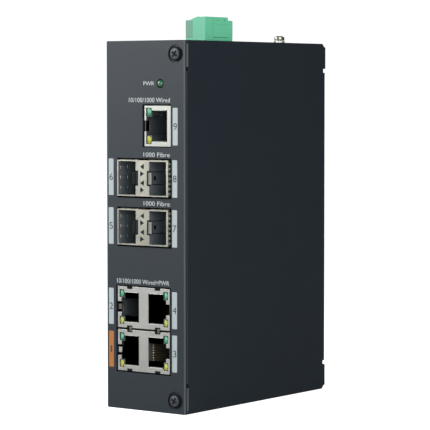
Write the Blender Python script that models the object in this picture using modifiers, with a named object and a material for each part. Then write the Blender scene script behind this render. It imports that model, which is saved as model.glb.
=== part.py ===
"""An upright industrial Ethernet switch for a 35 mm DIN rail, built as an assembly of separate pieces.

+X is to the right of someone who faces the ports, +Y is to the rear and +Z is up. The origin is at the
centre of the case's bottom face. Named sizes and places are in millimetres, and become metres where a
mesh is made.
"""

import math
from typing import NamedTuple

import bmesh
import bpy
from mathutils import Matrix, Vector

MM = 0.001
GAP = 0.3  # between pieces that touch on the real object
TURN_STEPS = 20  # sides of a turned piece

# Case, folded from steel sheet
WIDTH, DEPTH, HEIGHT = 40.5, 100.0, 150.0
SHEET = 1.2
BEND = 1.0  # outer radius of a fold
LEFT, RIGHT = -WIDTH / 2, WIDTH / 2
FRONT, REAR = -DEPTH / 2, DEPTH / 2
REAR_PANEL = REAR - 1.0  # outer face of the rear panel, under the cover's rear tabs
TAB_REACH = 8.2  # how far a cover tab reaches in from the side
TAB_BANDS = ((1.5, 10.6), (139.2, 148.5))  # heights of the cover's corner tabs
RELIEF = 1.7  # notch beside each tab
CORNER_CUT = 1.8  # chamfer on the cover's rear corners
COVER_FACE = RIGHT - SHEET

# Cover screws, M3 pan head: X and Z on the front; the rear ones are level with them
FRONT_SCREWS = {"top": (15.69, 144.5), "bottom": (15.28, 5.3)}
REAR_SCREW_X = 15.0
HEAD_RADIUS, HEAD_HEIGHT, SHANK_RADIUS = 3.0, 1.9, 1.2
DIMPLE_RADIUS, DIMPLE_DEPTH = 3.7, 0.5
SCREW_LENGTH = 6.0

# Power light
LED_X, LED_Z, LED_HOLE = 7.95, 132.7, 1.85
LED_RADIUS, LED_FLANGE, LED_SUNK = 1.5, 1.9, 0.5

# Main board, upright beside the cover
BOARD_X = 13.75
BOARD = (1.6, (-46.0, 44.0), (11.5, 138.0))  # thickness, Y and Z
PILLARS = ((-35.0, 128.5), (-30.0, 58.8), (38.0, 18.0), (38.0, 131.0))  # Y and Z
PILLAR_FLATS = 5.0

# Copper sockets: X centre, Z centre, half width and half height of each block's face
STACK_HALF = (13.4, 8.42)
STACKS = {"upper": (-1.0, 41.76), "lower": (-1.0, 24.1)}
SINGLE_HALF = (6.675, 8.175)
SINGLE = (6.4, 115.6)
SINGLE_CUTOUT = (6.15, 115.7)  # centre of the panel's opening for it
JACK_FACE = FRONT + 0.2
JACK_DEPTH, SOCKET_DEPTH = 24.0, 13.0
SHIELD = 0.4
STACK_INNER = 2.45  # from the stack's centre line to the nearer edge of each socket
SINGLE_INNER = 11.25  # X of the single socket's edge, away from its latch
ROOM_HALF = 3.9  # half height of the room between a socket's two LEDs
LATCH_NOTCH = 2.2
LED_MARGIN = 0.15
EDGE_NOTCH = ((5.95, 8.6), 0.9)  # reach from the stack's centre line, and depth


class Face(NamedTuple):
    """A socket's face: reaches from its inner edge toward its latch, and heights from its centre."""

    main: float
    main_half: float
    room: float
    led: tuple
    led_band: tuple


STACK_FACE = Face(main=7.75, main_half=6.15, room=9.1, led=(7.85, 9.9), led_band=(4.0, 7.0))
SINGLE_FACE = Face(main=7.85, main_half=6.35, room=10.6, led=(8.1, 10.55), led_band=(4.0, 7.15))

# Fibre cages: X centre and Z centres
CAGE_X = -0.475
CAGES = {"upper": 94.5, "lower": 74.62}
CAGE_HALF = (13.08, 7.3)
CAGE_FACE, CAGE_DEPTH = FRONT - 1.0, 48.0
CAGE_WALL, CAGE_SIDE = 0.5, 1.0
DIVIDER_HALF, DIVIDER_WALL, DIVIDER_NECK = 3.5, 0.5, (2.25, 3.05)
WINDOWS = ((4.7, -1), (1.85, 1), (-1.9, -1), (-4.7, 1))  # height from the centre, and which way it points
WINDOW_RADIUS = 1.15
TONGUE_HALF, TONGUE_LENGTH, TONGUE_THICKNESS = 2.4, 9.6, 0.4
LIP_RADIUS, LIP_REACH = 0.9, 4.12
CONNECTOR_FRONT = 33.0  # behind the cage's face

# Terminal on top
PLUG_X, PLUG_Y = (3.4, 13.35), (-27.2, -8.3)
HEADER_Z = (130.0, 151.4)
PLUG_Z = (151.7, 158.65)
RIDGE_Z, RIDGE_X, RIDGE_END = 159.95, (5.4, 9.1), -11.5
HEADER_WALL, NOSE_BOTTOM = 0.95, 142.0
POLES, PITCH = 4, 5.0
CHAMBER_HALF = 1.8
CLAMP_Z = 155.2

# Earth screw on top
EARTH = (7.75, 33.5)

# DIN rail clip on the rear
RAIL_HEIGHT = 35.0
CLIP_HALF, CLIP_Z, CLIP_SHEET = 12.5, (42.0, 100.0), 1.6
CLIP_Y = (REAR_PANEL + GAP, REAR_PANEL + GAP + CLIP_SHEET)
HOOK_GAP, HOOK_SHEET, HOOK_DROP = 1.3, 1.5, 3.0
RAIL_TOP = 95.0
RAIL_BOTTOM = RAIL_TOP - RAIL_HEIGHT
LATCH_HALF, LATCH_SHEET, LATCH_FOOT = 7.5, 1.4, 38.0
SPRING_RADIUS, SPRING_WIRE, SPRING_TURNS = 1.7, 0.3, 6
SPRING_Z = (44.5, 54.7)
CLIP_SCREWS = (88.0, 66.0)


def empty_scene():
    """Removes what the file holds, and gives the collections for the parts and for their cutters."""
    for obj in list(bpy.data.objects):
        bpy.data.objects.remove(obj)
    made = []
    for name in ("network_switch", "cutters"):
        collection = bpy.data.collections.new(name)
        bpy.context.scene.collection.children.link(collection)
        made.append(collection)
    return made


PARTS, CUTTERS = empty_scene()


def finish(name, colour, roughness, metallic=0.0):
    """A material with one Principled BSDF."""
    material = bpy.data.materials.new(name)
    material.use_nodes = True
    shader = material.node_tree.nodes["Principled BSDF"]
    shader.inputs["Base Color"].default_value = (*colour, 1.0)
    shader.inputs["Roughness"].default_value = roughness
    shader.inputs["Metallic"].default_value = metallic
    material.diffuse_color = (*colour, 1.0)
    return material


BLACK_PAINT = finish("black_paint", (0.045, 0.050, 0.055), 0.45)
TINNED = finish("tinned_shield", (0.60, 0.60, 0.56), 0.30, 1.0)
NICKEL = finish("nickel", (0.66, 0.64, 0.58), 0.28, 1.0)
ZINC = finish("zinc_steel", (0.55, 0.56, 0.58), 0.38, 1.0)
BLACK_SCREW = finish("black_screw", (0.03, 0.03, 0.03), 0.35, 0.6)
BLACK_PLASTIC = finish("black_plastic", (0.012, 0.012, 0.013), 0.5)
GREEN_PLASTIC = finish("green_plastic", (0.10, 0.45, 0.25), 0.42)
GREEN_LENS = finish("green_lens", (0.05, 0.38, 0.16), 0.15)
YELLOW_LENS = finish("yellow_lens", (0.50, 0.52, 0.05), 0.15)
CLEAR_PIPE = finish("light_pipe", (0.30, 0.32, 0.33), 0.2)
BOARD_GREEN = finish("board_green", (0.02, 0.16, 0.07), 0.45)
ALUMINIUM = finish("aluminium", (0.72, 0.73, 0.74), 0.4, 1.0)
COPPER_TAPE = finish("winding_tape", (0.75, 0.55, 0.08), 0.5)


def to_mesh(shape, name):
    """The mesh of a bmesh, which is freed."""
    mesh = bpy.data.meshes.new(name)
    shape.to_mesh(mesh)
    shape.free()
    return mesh


def box(x, y, z):
    """A closed box between the pairs x, y and z."""
    low = Vector((min(x), min(y), min(z)))
    high = Vector((max(x), max(y), max(z)))
    shape = bmesh.new()
    place = Matrix.Translation((low + high) / 2) @ Matrix.Diagonal((*(high - low), 1.0))
    bmesh.ops.create_cube(shape, size=1.0, matrix=Matrix.Scale(MM, 4) @ place)
    return to_mesh(shape, "box")


def rod(start, end, radius, tip=None, sides=20):
    """A closed cylinder from start to end, or a cone whose far radius is tip."""
    start, end = Vector(start), Vector(end)
    along = end - start
    shape = bmesh.new()
    place = Matrix.Translation((start + end) / 2) @ along.to_track_quat("Z", "Y").to_matrix().to_4x4()
    bmesh.ops.create_cone(
        shape, cap_ends=True, segments=sides, radius1=radius, radius2=radius if tip is None else tip,
        depth=along.length, matrix=Matrix.Scale(MM, 4) @ place,
    )
    return to_mesh(shape, "rod")


def extruded(outline, y):
    """A closed prism: an outline of (x, z) points, stretched between the pair y."""
    shape = bmesh.new()
    corners = [shape.verts.new(Vector((x, min(y), z)) * MM) for x, z in outline]
    face = shape.faces.new(corners)
    grown = bmesh.ops.extrude_face_region(shape, geom=[face])
    moved = [item for item in grown["geom"] if isinstance(item, bmesh.types.BMVert)]
    bmesh.ops.translate(shape, verts=moved, vec=(0.0, (max(y) - min(y)) * MM, 0.0))
    bmesh.ops.recalc_face_normals(shape, faces=shape.faces)
    return to_mesh(shape, "prism")


def rounded(mesh, radius, chosen, segments=3):
    """The mesh with a round of this radius on each edge whose two ends the test chosen accepts."""
    shape = bmesh.new()
    shape.from_mesh(mesh)
    edges = [edge for edge in shape.edges if chosen(*(vert.co / MM for vert in edge.verts))]
    bmesh.ops.bevel(
        shape, geom=edges, offset=radius * MM, segments=segments, profile=0.5, affect="EDGES"
    )
    shape.to_mesh(mesh)
    shape.free()
    return mesh


def profile_mesh(profile):
    """An open line of (radius, height) points, which a Screw modifier turns round Z into a closed solid."""
    mesh = bpy.data.meshes.new("profile")
    points = [Vector((radius, 0.0, height)) * MM for radius, height in profile]
    mesh.from_pydata(points, [(index, index + 1) for index in range(len(points) - 1)], [])
    return mesh


def piece(name, material, body, add=(), cut=(), pivot=(0.0, 0.0, 0.0), turned_to=None):
    """One sub-part: the mesh body, joined to those in add and less those in cut, with its origin at pivot.

    Where turned_to is given, body is a profile, and its axis points that way from pivot.
    """
    obj = bpy.data.objects.new(name, body)
    PARTS.objects.link(obj)
    body.materials.append(material)
    place = Matrix.Translation(Vector(pivot) * MM)
    if turned_to is None:
        body.transform(place.inverted())
        body.shade_smooth()
        body.set_sharp_from_angle(angle=math.radians(35))
    else:
        place = place @ Vector(turned_to).to_track_quat("Z", "Y").to_matrix().to_4x4()
        screw = obj.modifiers.new("turn", "SCREW")
        screw.steps = screw.render_steps = TURN_STEPS
        screw.use_merge_vertices = True
        screw.merge_threshold = 1e-6
    obj.matrix_world = place
    for operation, shapes in (("UNION", add), ("DIFFERENCE", cut)):
        for shape in shapes:
            shape.transform(place.inverted())
            helper = bpy.data.objects.new(f"{name}_{operation.lower()}", shape)
            CUTTERS.objects.link(helper)
            helper.parent = obj
            helper.hide_render = True
            helper.display_type = "WIRE"
            modifier = obj.modifiers.new(operation.lower(), "BOOLEAN")
            modifier.operation = operation
            modifier.object = helper
    return obj


def sides_of(centre, half):
    """The pair of coordinates on both sides of a centre."""
    return centre - half, centre + half


# --- Case ---------------------------------------------------------------------------------------------


def front_openings():
    """The X and Z pairs of the front panel's port openings."""
    openings = [(sides_of(SINGLE_CUTOUT[0], 7.3), sides_of(SINGLE_CUTOUT[1], 8.65))]
    for height in CAGES.values():
        openings.append((sides_of(CAGE_X, CAGE_HALF[0] + 0.8), sides_of(height, CAGE_HALF[1] + 0.8)))
    low, high = STACKS["lower"][1] - STACK_HALF[1], STACKS["upper"][1] + STACK_HALF[1]
    openings.append((sides_of(STACKS["upper"][0], STACK_HALF[0] + 0.7), (low - 0.6, high + 0.6)))
    return openings


def chassis_tray():
    """Front, left side, top, bottom and rear panels, folded from one sheet and open to the right."""
    shell = box((LEFT, RIGHT), (FRONT, REAR_PANEL), (0.0, HEIGHT))
    rounded(shell, BEND, lambda a, b: a.x < 0 and b.x < 0)
    inside_y = (FRONT + SHEET, REAR_PANEL - SHEET)
    cuts = [box((LEFT + SHEET, RIGHT + 1), inside_y, (SHEET, HEIGHT - SHEET))]
    cuts.append(box((COVER_FACE - GAP, RIGHT + 1), (FRONT + SHEET, REAR), (-1.0, HEIGHT + 1)))
    for x, z in front_openings():
        cuts.append(box(x, (FRONT - 1, FRONT + SHEET + 1), z))
    for x, z in FRONT_SCREWS.values():
        cuts.append(rod((x, FRONT - 1, z), (x, FRONT + DIMPLE_DEPTH, z), DIMPLE_RADIUS, sides=28))
        cuts.append(rod((x, FRONT - 1, z), (x, FRONT + 2, z), SHANK_RADIUS + GAP))
        cuts.append(rod((REAR_SCREW_X, REAR_PANEL - 2, z), (REAR_SCREW_X, REAR, z), SHANK_RADIUS + GAP))
    cuts.append(rod((LED_X, FRONT - 1, LED_Z), (LED_X, FRONT + 2, LED_Z), LED_HOLE, sides=24))
    header_x, header_y = (PLUG_X[0] - GAP, PLUG_X[1] + GAP), (PLUG_Y[0] - GAP, PLUG_Y[1] + GAP)
    cuts.append(box(header_x, header_y, (HEIGHT - 2, HEIGHT + 1)))
    cuts.append(rod((*EARTH, HEIGHT - 2), (*EARTH, HEIGHT + 1), SHANK_RADIUS + GAP))
    for z in CLIP_SCREWS:
        cuts.append(rod((0, REAR_PANEL - 2, z), (0, REAR, z), SHANK_RADIUS + GAP))
    piece("chassis_tray", BLACK_PAINT, shell, cut=cuts)


def side_cover():
    """The right side, with tabs folded behind the front panel and over the rear panel at its corners."""
    front_y = FRONT + SHEET + GAP
    outline = [(front_y, 0.0), (front_y, HEIGHT), (REAR - CORNER_CUT, HEIGHT), (REAR, HEIGHT - CORNER_CUT)]
    outline += [(REAR, CORNER_CUT), (REAR - CORNER_CUT, 0.0)]
    plate = extruded(outline, (COVER_FACE, RIGHT))
    plate.transform(Matrix(((0, 1, 0, 0), (1, 0, 0, 0), (0, 0, 1, 0), (0, 0, 0, 1))))
    plate.flip_normals()
    added, cuts = [], []
    rear_y = (REAR_PANEL + GAP, REAR_PANEL + GAP + SHEET)
    tab_x = (RIGHT - TAB_REACH, RIGHT)
    for low, high in TAB_BANDS:
        for y in ((front_y, front_y + SHEET), rear_y):
            added.append(box(tab_x, y, (low, high)))
    for z in (TAB_BANDS[0][1], TAB_BANDS[1][0] - RELIEF):
        cuts.append(box((COVER_FACE - 1, RIGHT + 1), (front_y - 1, front_y + SHEET), (z, z + RELIEF)))
        cuts.append(box((COVER_FACE - 1, RIGHT + 1), (REAR - SHEET, REAR + 1), (z, z + RELIEF)))
    for x, z in FRONT_SCREWS.values():
        cuts.append(rod((x, FRONT, z), (x, FRONT + 4, z), SHANK_RADIUS + GAP))
        cuts.append(rod((REAR_SCREW_X, REAR_PANEL, z), (REAR_SCREW_X, REAR + 2, z), SHANK_RADIUS + GAP))
    piece("side_cover", BLACK_PAINT, plate, add=added, cut=cuts)


def dome(radius, base, rise, steps=4):
    """Profile points from the axis, over a dome, to its rim at the height base."""
    angles = [math.pi / 2 * index / steps for index in range(steps + 1)]
    return [(radius * math.sin(angle), base + rise * math.cos(angle)) for angle in angles]


def pan_screw(name, material, seat, outward, radius=HEAD_RADIUS, height=HEAD_HEIGHT):
    """A pan head screw with a cross recess, whose head stands on seat and faces outward."""
    profile = dome(radius, height * 0.5, height * 0.5)
    profile += [(radius, 0.0), (SHANK_RADIUS, 0.0), (SHANK_RADIUS, -SCREW_LENGTH), (0.0, -SCREW_LENGTH)]
    top = Vector(seat) + Vector(outward) * height
    turn = Vector(outward).to_track_quat("Z", "Y").to_matrix().to_4x4()
    cuts = []
    for half_x, half_y in ((0.36, radius * 0.58), (radius * 0.58, 0.36)):
        slot = box((-half_x, half_x), (-half_y, half_y), (-0.62 * height, 1.0))
        slot.transform(Matrix.Translation(top * MM) @ turn)
        cuts.append(slot)
    piece(name, material, profile_mesh(profile), cut=cuts, pivot=seat, turned_to=outward)


def cover_screws():
    """The four screws that hold the side cover by its tabs."""
    for level, (x, z) in FRONT_SCREWS.items():
        front_seat = (x, FRONT + DIMPLE_DEPTH - GAP, z)
        pan_screw(f"cover_screw_front_{level}", BLACK_SCREW, front_seat, (0, -1, 0))
        rear_seat = (REAR_SCREW_X, REAR_PANEL + SHEET + 2 * GAP, z)
        pan_screw(f"cover_screw_rear_{level}", BLACK_SCREW, rear_seat, (0, 1, 0))


# --- Board --------------------------------------------------------------------------------------------


def main_board():
    """The circuit board, the hex pillars that carry it, and the larger parts on it."""
    thickness, y, z = BOARD
    holes = [rod((BOARD_X - 1, *spot), (BOARD_X + thickness + 1, *spot), 1.6) for spot in PILLARS]
    piece("main_pcb", BOARD_GREEN, box((BOARD_X, BOARD_X + thickness), y, z), cut=holes)
    for number, spot in enumerate(PILLARS, 1):
        ends = (LEFT + SHEET + GAP, *spot), (BOARD_X - GAP, *spot)
        body = rod(*ends, PILLAR_FLATS / math.sqrt(3), sides=6)
        bore = rod((BOARD_X - 9, *spot), (BOARD_X, *spot), 1.25, sides=12)
        piece(f"pcb_standoff_{number}", ZINC, body, cut=(bore,))
    mounted_x = BOARD_X - GAP
    fins = [box((-1.0, mounted_x - 3.0), (y, y + 2.2), (60.0, 102.0)) for y in (9.0, 13.4, 17.8, 22.2, 26.6)]
    piece("heatsink", ALUMINIUM, box((0.0, mounted_x), (6.0, 32.0), (62.0, 100.0)), cut=fins)
    core = box((-6.0, mounted_x), (-10.0, 14.0), (22.0, 46.0))
    piece("power_transformer", COPPER_TAPE, core, add=(box((-3.5, mounted_x - 2), (-12.5, 16.5), (24.0, 44.0)),))
    for number, z in enumerate((108.0, 121.0), 1):
        can = rod((-7.0, 20.0, z), (mounted_x, 20.0, z), 5.0, sides=24)
        piece(f"bulk_capacitor_{number}", BLACK_PLASTIC, can)


# --- Copper sockets -----------------------------------------------------------------------------------


def socket_rooms(inner, latch, height, face):
    """X and Z pairs of one socket's face: the plug's room, and the room beside it, between the LEDs."""
    main = sorted((inner, inner + latch * face.main))
    beside = sorted((inner + latch * (face.main - 0.5), inner + latch * face.room))
    return [(main, sides_of(height, face.main_half)), (beside, sides_of(height, ROOM_HALF))]


def led_rooms(inner, latch, height, face):
    """X and Z pairs of the two LEDs beside one socket, the green one above."""
    x = sorted(inner + latch * reach for reach in face.led)
    low, high = face.led_band
    return {"green": (x, (height + low, height + high)), "yellow": (x, (height - high, height - low))}


def grown(pair, by):
    """A pair of coordinates moved apart by the same amount at both ends."""
    return min(pair) - by, max(pair) + by


def jack(name, centre, half, face, sockets):
    """One metal shielded block: its shield, its black housing, and the LEDs beside each socket.

    sockets maps a port's number to its inner edge's X and to the side its latch is on, +1 or -1.
    """
    x, z = sides_of(centre[0], half[0]), sides_of(centre[1], half[1])
    back = JACK_FACE + JACK_DEPTH
    shell = box(x, (JACK_FACE, back), z)
    inner_x, inner_z = grown(x, -SHIELD), grown(z, -SHIELD)
    cuts = [box(inner_x, (JACK_FACE + SHIELD, back + 1), inner_z)]
    core = box(grown(inner_x, -GAP), (JACK_FACE + SHIELD + GAP, back - GAP), grown(inner_z, -GAP))
    hollows = []
    front = (JACK_FACE - 1, JACK_FACE + SHIELD + GAP)
    deep = (JACK_FACE - 1, JACK_FACE + SOCKET_DEPTH)
    for number, (inner, latch) in sockets.items():
        for room in socket_rooms(inner, latch, centre[1], face):
            cuts.append(box(room[0], front, room[1]))
            hollows.append(box(room[0], deep, room[1]))
        outer = centre[0] + latch * (half[0] + 1)
        notch = sides_of(centre[1], LATCH_NOTCH)
        reach = (inner + latch * (face.room - 0.5), outer)
        cuts.append(box(reach, (JACK_FACE - 1, JACK_FACE + 3), notch))
        hollows.append(box(reach, (JACK_FACE - 1, JACK_FACE + 3), notch))
        for colour, (led_x, led_z) in led_rooms(inner, latch, centre[1], face).items():
            cuts.append(box(grown(led_x, LED_MARGIN), front, grown(led_z, LED_MARGIN)))
            hollows.append(box(grown(led_x, GAP), (JACK_FACE - 1, JACK_FACE + 7), grown(led_z, GAP)))
            lens = box(led_x, (JACK_FACE, JACK_FACE + 6.5), led_z)
            rounded(lens, 0.7, lambda a, b: a.y < JACK_FACE + 1 and b.y < JACK_FACE + 1, 2)
            piece(f"jack_led_{number}_{colour}", GREEN_LENS if colour == "green" else YELLOW_LENS, lens)
    if len(sockets) > 1:
        for side in (-1, 1):
            notch_x = [centre[0] + side * reach for reach in EDGE_NOTCH[0]]
            for edge in z:
                cuts.append(box(notch_x, front, sides_of(edge, EDGE_NOTCH[1])))
    piece(f"jack_shield_{name}", TINNED, shell, cut=cuts)
    piece(f"jack_housing_{name}", BLACK_PLASTIC, core, cut=hollows)


def copper_sockets():
    """Two stacked blocks of two ports, and the single port above the cages."""
    for (name, centre), numbers in zip(STACKS.items(), (("2", "4"), ("1", "3"))):
        left, right = sides_of(centre[0], STACK_INNER)
        jack(name, centre, STACK_HALF, STACK_FACE, {numbers[0]: (left, -1), numbers[1]: (right, 1)})
    jack("single", SINGLE, SINGLE_HALF, SINGLE_FACE, {"9": (SINGLE_INNER, -1)})


# --- Power light --------------------------------------------------------------------------------------


def power_led():
    """A 3 mm LED, whose domed end looks out of its hole in the front panel."""
    profile = dome(LED_RADIUS, 0.0, LED_RADIUS)
    profile += [(LED_RADIUS, -4.0), (LED_FLANGE, -4.0), (LED_FLANGE, -5.0), (0.0, -5.0)]
    place = (LED_X, FRONT + LED_SUNK, LED_Z)
    piece("power_led", GREEN_LENS, profile_mesh(profile), pivot=place, turned_to=(0, -1, 0))


# --- Fibre cages --------------------------------------------------------------------------------------


def triangle_window(x, z, points):
    """A triangular prism through a cage's divider plate; points is the side its tip is on."""
    corners = [math.radians(turn) for turn in (0, 120, 240)]
    outline = [(x + points * WINDOW_RADIUS * math.cos(a), z + WINDOW_RADIUS * math.sin(a)) for a in corners]
    return extruded(outline, (CAGE_FACE - 1, CAGE_FACE + 1.5))


def sfp_cage(name, height):
    """One cage of two fibre ports side by side, with a divider plate that shows four light pipes."""
    x, z = sides_of(CAGE_X, CAGE_HALF[0]), sides_of(height, CAGE_HALF[1])
    back = CAGE_FACE + CAGE_DEPTH
    shell = box(x, (CAGE_FACE, back), z)
    port_z = grown(z, -CAGE_WALL)
    cuts = []
    for side in (-1, 1):
        port_x = [CAGE_X + side * DIVIDER_HALF, CAGE_X + side * (CAGE_HALF[0] - CAGE_SIDE)]
        cuts.append(box(port_x, (CAGE_FACE - 1, back - CAGE_WALL), port_z))
        neck_x = [CAGE_X + side * DIVIDER_NECK[0], CAGE_X + side * (DIVIDER_HALF + 1)]
        cuts.append(box(neck_x, (CAGE_FACE - 1, CAGE_FACE + 1.5), sides_of(height, DIVIDER_NECK[1])))
        slot_x = [CAGE_X + side * (DIVIDER_HALF - 1), CAGE_X + side * (DIVIDER_HALF + 1)]
        slot_y = (CAGE_FACE - 1, CAGE_FACE + TONGUE_LENGTH + GAP)
        cuts.append(box(slot_x, slot_y, sides_of(height, TONGUE_HALF + GAP)))
    channel_x = sides_of(CAGE_X, DIVIDER_HALF - DIVIDER_WALL)
    cuts.append(box(channel_x, (CAGE_FACE + 0.8, back - CAGE_WALL), port_z))
    rear_x = sides_of(CAGE_X, CAGE_HALF[0] - CAGE_SIDE)
    cuts.append(box(rear_x, (CAGE_FACE + CONNECTOR_FRONT, back - CAGE_WALL), port_z))
    for rise, points in WINDOWS:
        cuts.append(triangle_window(CAGE_X - 0.2 - points * 0.3, height + rise, points))
    piece(f"sfp_cage_{name}", NICKEL, shell, cut=cuts)


def sfp_light_pipes(name, height):
    """Four clear pipes behind the divider plate's windows, joined by a bar."""
    start, end = CAGE_FACE + 1.1, CAGE_FACE + CONNECTOR_FRONT - 4
    pipes = [box(sides_of(CAGE_X, 0.8), (start, end), sides_of(height + rise, 0.8)) for rise, _ in WINDOWS]
    bar = box(sides_of(CAGE_X, 0.8), (end - 2, end), sides_of(height, 5.5))
    piece(f"sfp_light_pipes_{name}", CLEAR_PIPE, bar, add=pipes)


def sfp_connector(name, height):
    """The moulded card sockets at the back of both ports of a cage."""
    start = CAGE_FACE + CONNECTOR_FRONT
    body = box(sides_of(CAGE_X, 11.5), (start + 4, CAGE_FACE + CAGE_DEPTH - 1.0), sides_of(height, 6.0))
    noses, slots = [], []
    for side in (-1, 1):
        middle = CAGE_X + side * 7.8
        noses.append(box(sides_of(middle, 2.6), (start - 4, start + 5), sides_of(height, 4.6)))
        slots.append(box(sides_of(middle, 0.6), (start - 5, start + 2), sides_of(height, 3.8)))
    piece(f"sfp_connector_{name}", BLACK_PLASTIC, body, add=noses, cut=slots)


def sfp_latches(level, height, numbers):
    """The sprung tongue of each port, with a rolled lip, hinged at its root in the divider wall."""
    for number, side in zip(numbers, (-1, 1)):
        plane = CAGE_X + side * (DIVIDER_HALF - 0.05)
        root, lip = CAGE_FACE + TONGUE_LENGTH, CAGE_X + side * LIP_REACH
        strip_x = (plane, plane - side * TONGUE_THICKNESS)
        blade = box(strip_x, (CAGE_FACE, root), sides_of(height, TONGUE_HALF))
        roll = rod((lip, CAGE_FACE, height - TONGUE_HALF), (lip, CAGE_FACE, height + TONGUE_HALF), LIP_RADIUS)
        hole = rod((lip - 3, CAGE_FACE + 4, height), (lip + 3, CAGE_FACE + 4, height), 1.0, sides=12)
        piece(f"sfp_latch_{number}", NICKEL, blade, add=(roll,), cut=(hole,), pivot=(plane, root, height))


def fibre_cages():
    """Both cages, and what each one holds."""
    for (name, height), numbers in zip(CAGES.items(), (("6", "8"), ("5", "7"))):
        sfp_cage(name, height)
        sfp_light_pipes(name, height)
        sfp_connector(name, height)
        sfp_latches(name, height, numbers)


# --- Terminal -----------------------------------------------------------------------------------------


def pole_places():
    """The Y of each pole's centre."""
    middle = sum(PLUG_Y) / 2
    return [middle + (index - (POLES - 1) / 2) * PITCH for index in range(POLES)]


def terminal_header():
    """The socket on the board that the plug goes into."""
    body = box(PLUG_X, PLUG_Y, HEADER_Z)
    room = box(grown(PLUG_X, -HEADER_WALL), grown(PLUG_Y, -HEADER_WALL), (HEADER_Z[0] + 3, HEADER_Z[1] + 1))
    piece("terminal_header", GREEN_PLASTIC, body, cut=(room,))


def terminal_plug():
    """The pluggable block, with a chamber, a wire entry and a screw hole for each pole."""
    low, high = PLUG_X
    outline = [(low, PLUG_Z[0]), (high, PLUG_Z[0]), (high, RIDGE_Z), (RIDGE_X[1], RIDGE_Z)]
    outline += [(RIDGE_X[0], PLUG_Z[1]), (low, PLUG_Z[1])]
    body = extruded(outline, PLUG_Y)
    nose_x, nose_y = grown(PLUG_X, -HEADER_WALL - GAP), grown(PLUG_Y, -HEADER_WALL - GAP)
    nose = box(nose_x, nose_y, (NOSE_BOTTOM, PLUG_Z[0] + 0.5))
    cuts = [box((low - 1, high + 1), (RIDGE_END, PLUG_Y[1] + 1), (PLUG_Z[1], RIDGE_Z + 1))]
    for y in pole_places():
        cuts.append(box((low + 1.9, high - 1.2), sides_of(y, CHAMBER_HALF), (CLAMP_Z - 2.6, CLAMP_Z + 2.6)))
        cuts.append(box((low + 4.0, high - 1.9), sides_of(y, 1.4), (CLAMP_Z, RIDGE_Z + 1)))
        cuts.append(box(sides_of(sum(PLUG_X) / 2, 1.2), sides_of(y, 1.2), (NOSE_BOTTOM - 1, CLAMP_Z)))
        cuts.append(rod((low - 1, y, CLAMP_Z), (low + 1.5, y, CLAMP_Z), 2.1))
        cuts.append(rod((low - 1, y, CLAMP_Z), (low + 2.5, y, CLAMP_Z), 1.3))
    piece("terminal_plug", GREEN_PLASTIC, body, add=(nose,), cut=cuts)


def terminal_screws():
    """Each pole's slotted screw, and the cage that it draws against the wire."""
    for number, y in enumerate(pole_places(), 1):
        seat = PLUG_X[0] + 1.2
        head = rod((seat - 1.0, y, CLAMP_Z), (seat, y, CLAMP_Z), 1.8)
        stem = rod((seat - 0.1, y, CLAMP_Z), (seat + 3.6, y, CLAMP_Z), 1.0, sides=14)
        slot = box((seat - 2, seat - 0.5), sides_of(y, 0.3), sides_of(CLAMP_Z, 2.2))
        piece(f"terminal_screw_{number}", ZINC, head, add=(stem,), cut=(slot,), pivot=(seat, y, CLAMP_Z))
        right = PLUG_X[1] - 1.2 - GAP
        frame = box((right - 4.0, right), sides_of(y, CHAMBER_HALF - GAP), sides_of(CLAMP_Z, 2.2))
        window = box((right - 3.0, right - 0.8), sides_of(y, 1.0), sides_of(CLAMP_Z, 4.0))
        thread = rod((right - 5, y, CLAMP_Z), (right - 2.5, y, CLAMP_Z), 1.3, sides=14)
        place = (right, y, CLAMP_Z)
        piece(f"wire_clamp_{number}", ZINC, frame, cut=(window, thread), pivot=place)


# --- Earth screw --------------------------------------------------------------------------------------


def earth_point():
    """The earth screw on the top panel, and the washer that rises with it."""
    base = HEIGHT + GAP
    washer = rod((*EARTH, base), (*EARTH, base + 0.9), 2.4, sides=24)
    bore = rod((*EARTH, base - 1), (*EARTH, base + 2), SHANK_RADIUS + GAP)
    piece("earth_washer", NICKEL, washer, cut=(bore,), pivot=(*EARTH, base))
    seat = (*EARTH, base + 0.9 + 0.2)
    pan_screw("earth_screw", NICKEL, seat, (0, 0, 1), radius=2.5, height=2.1)


# --- DIN rail clip ------------------------------------------------------------------------------------


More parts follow.
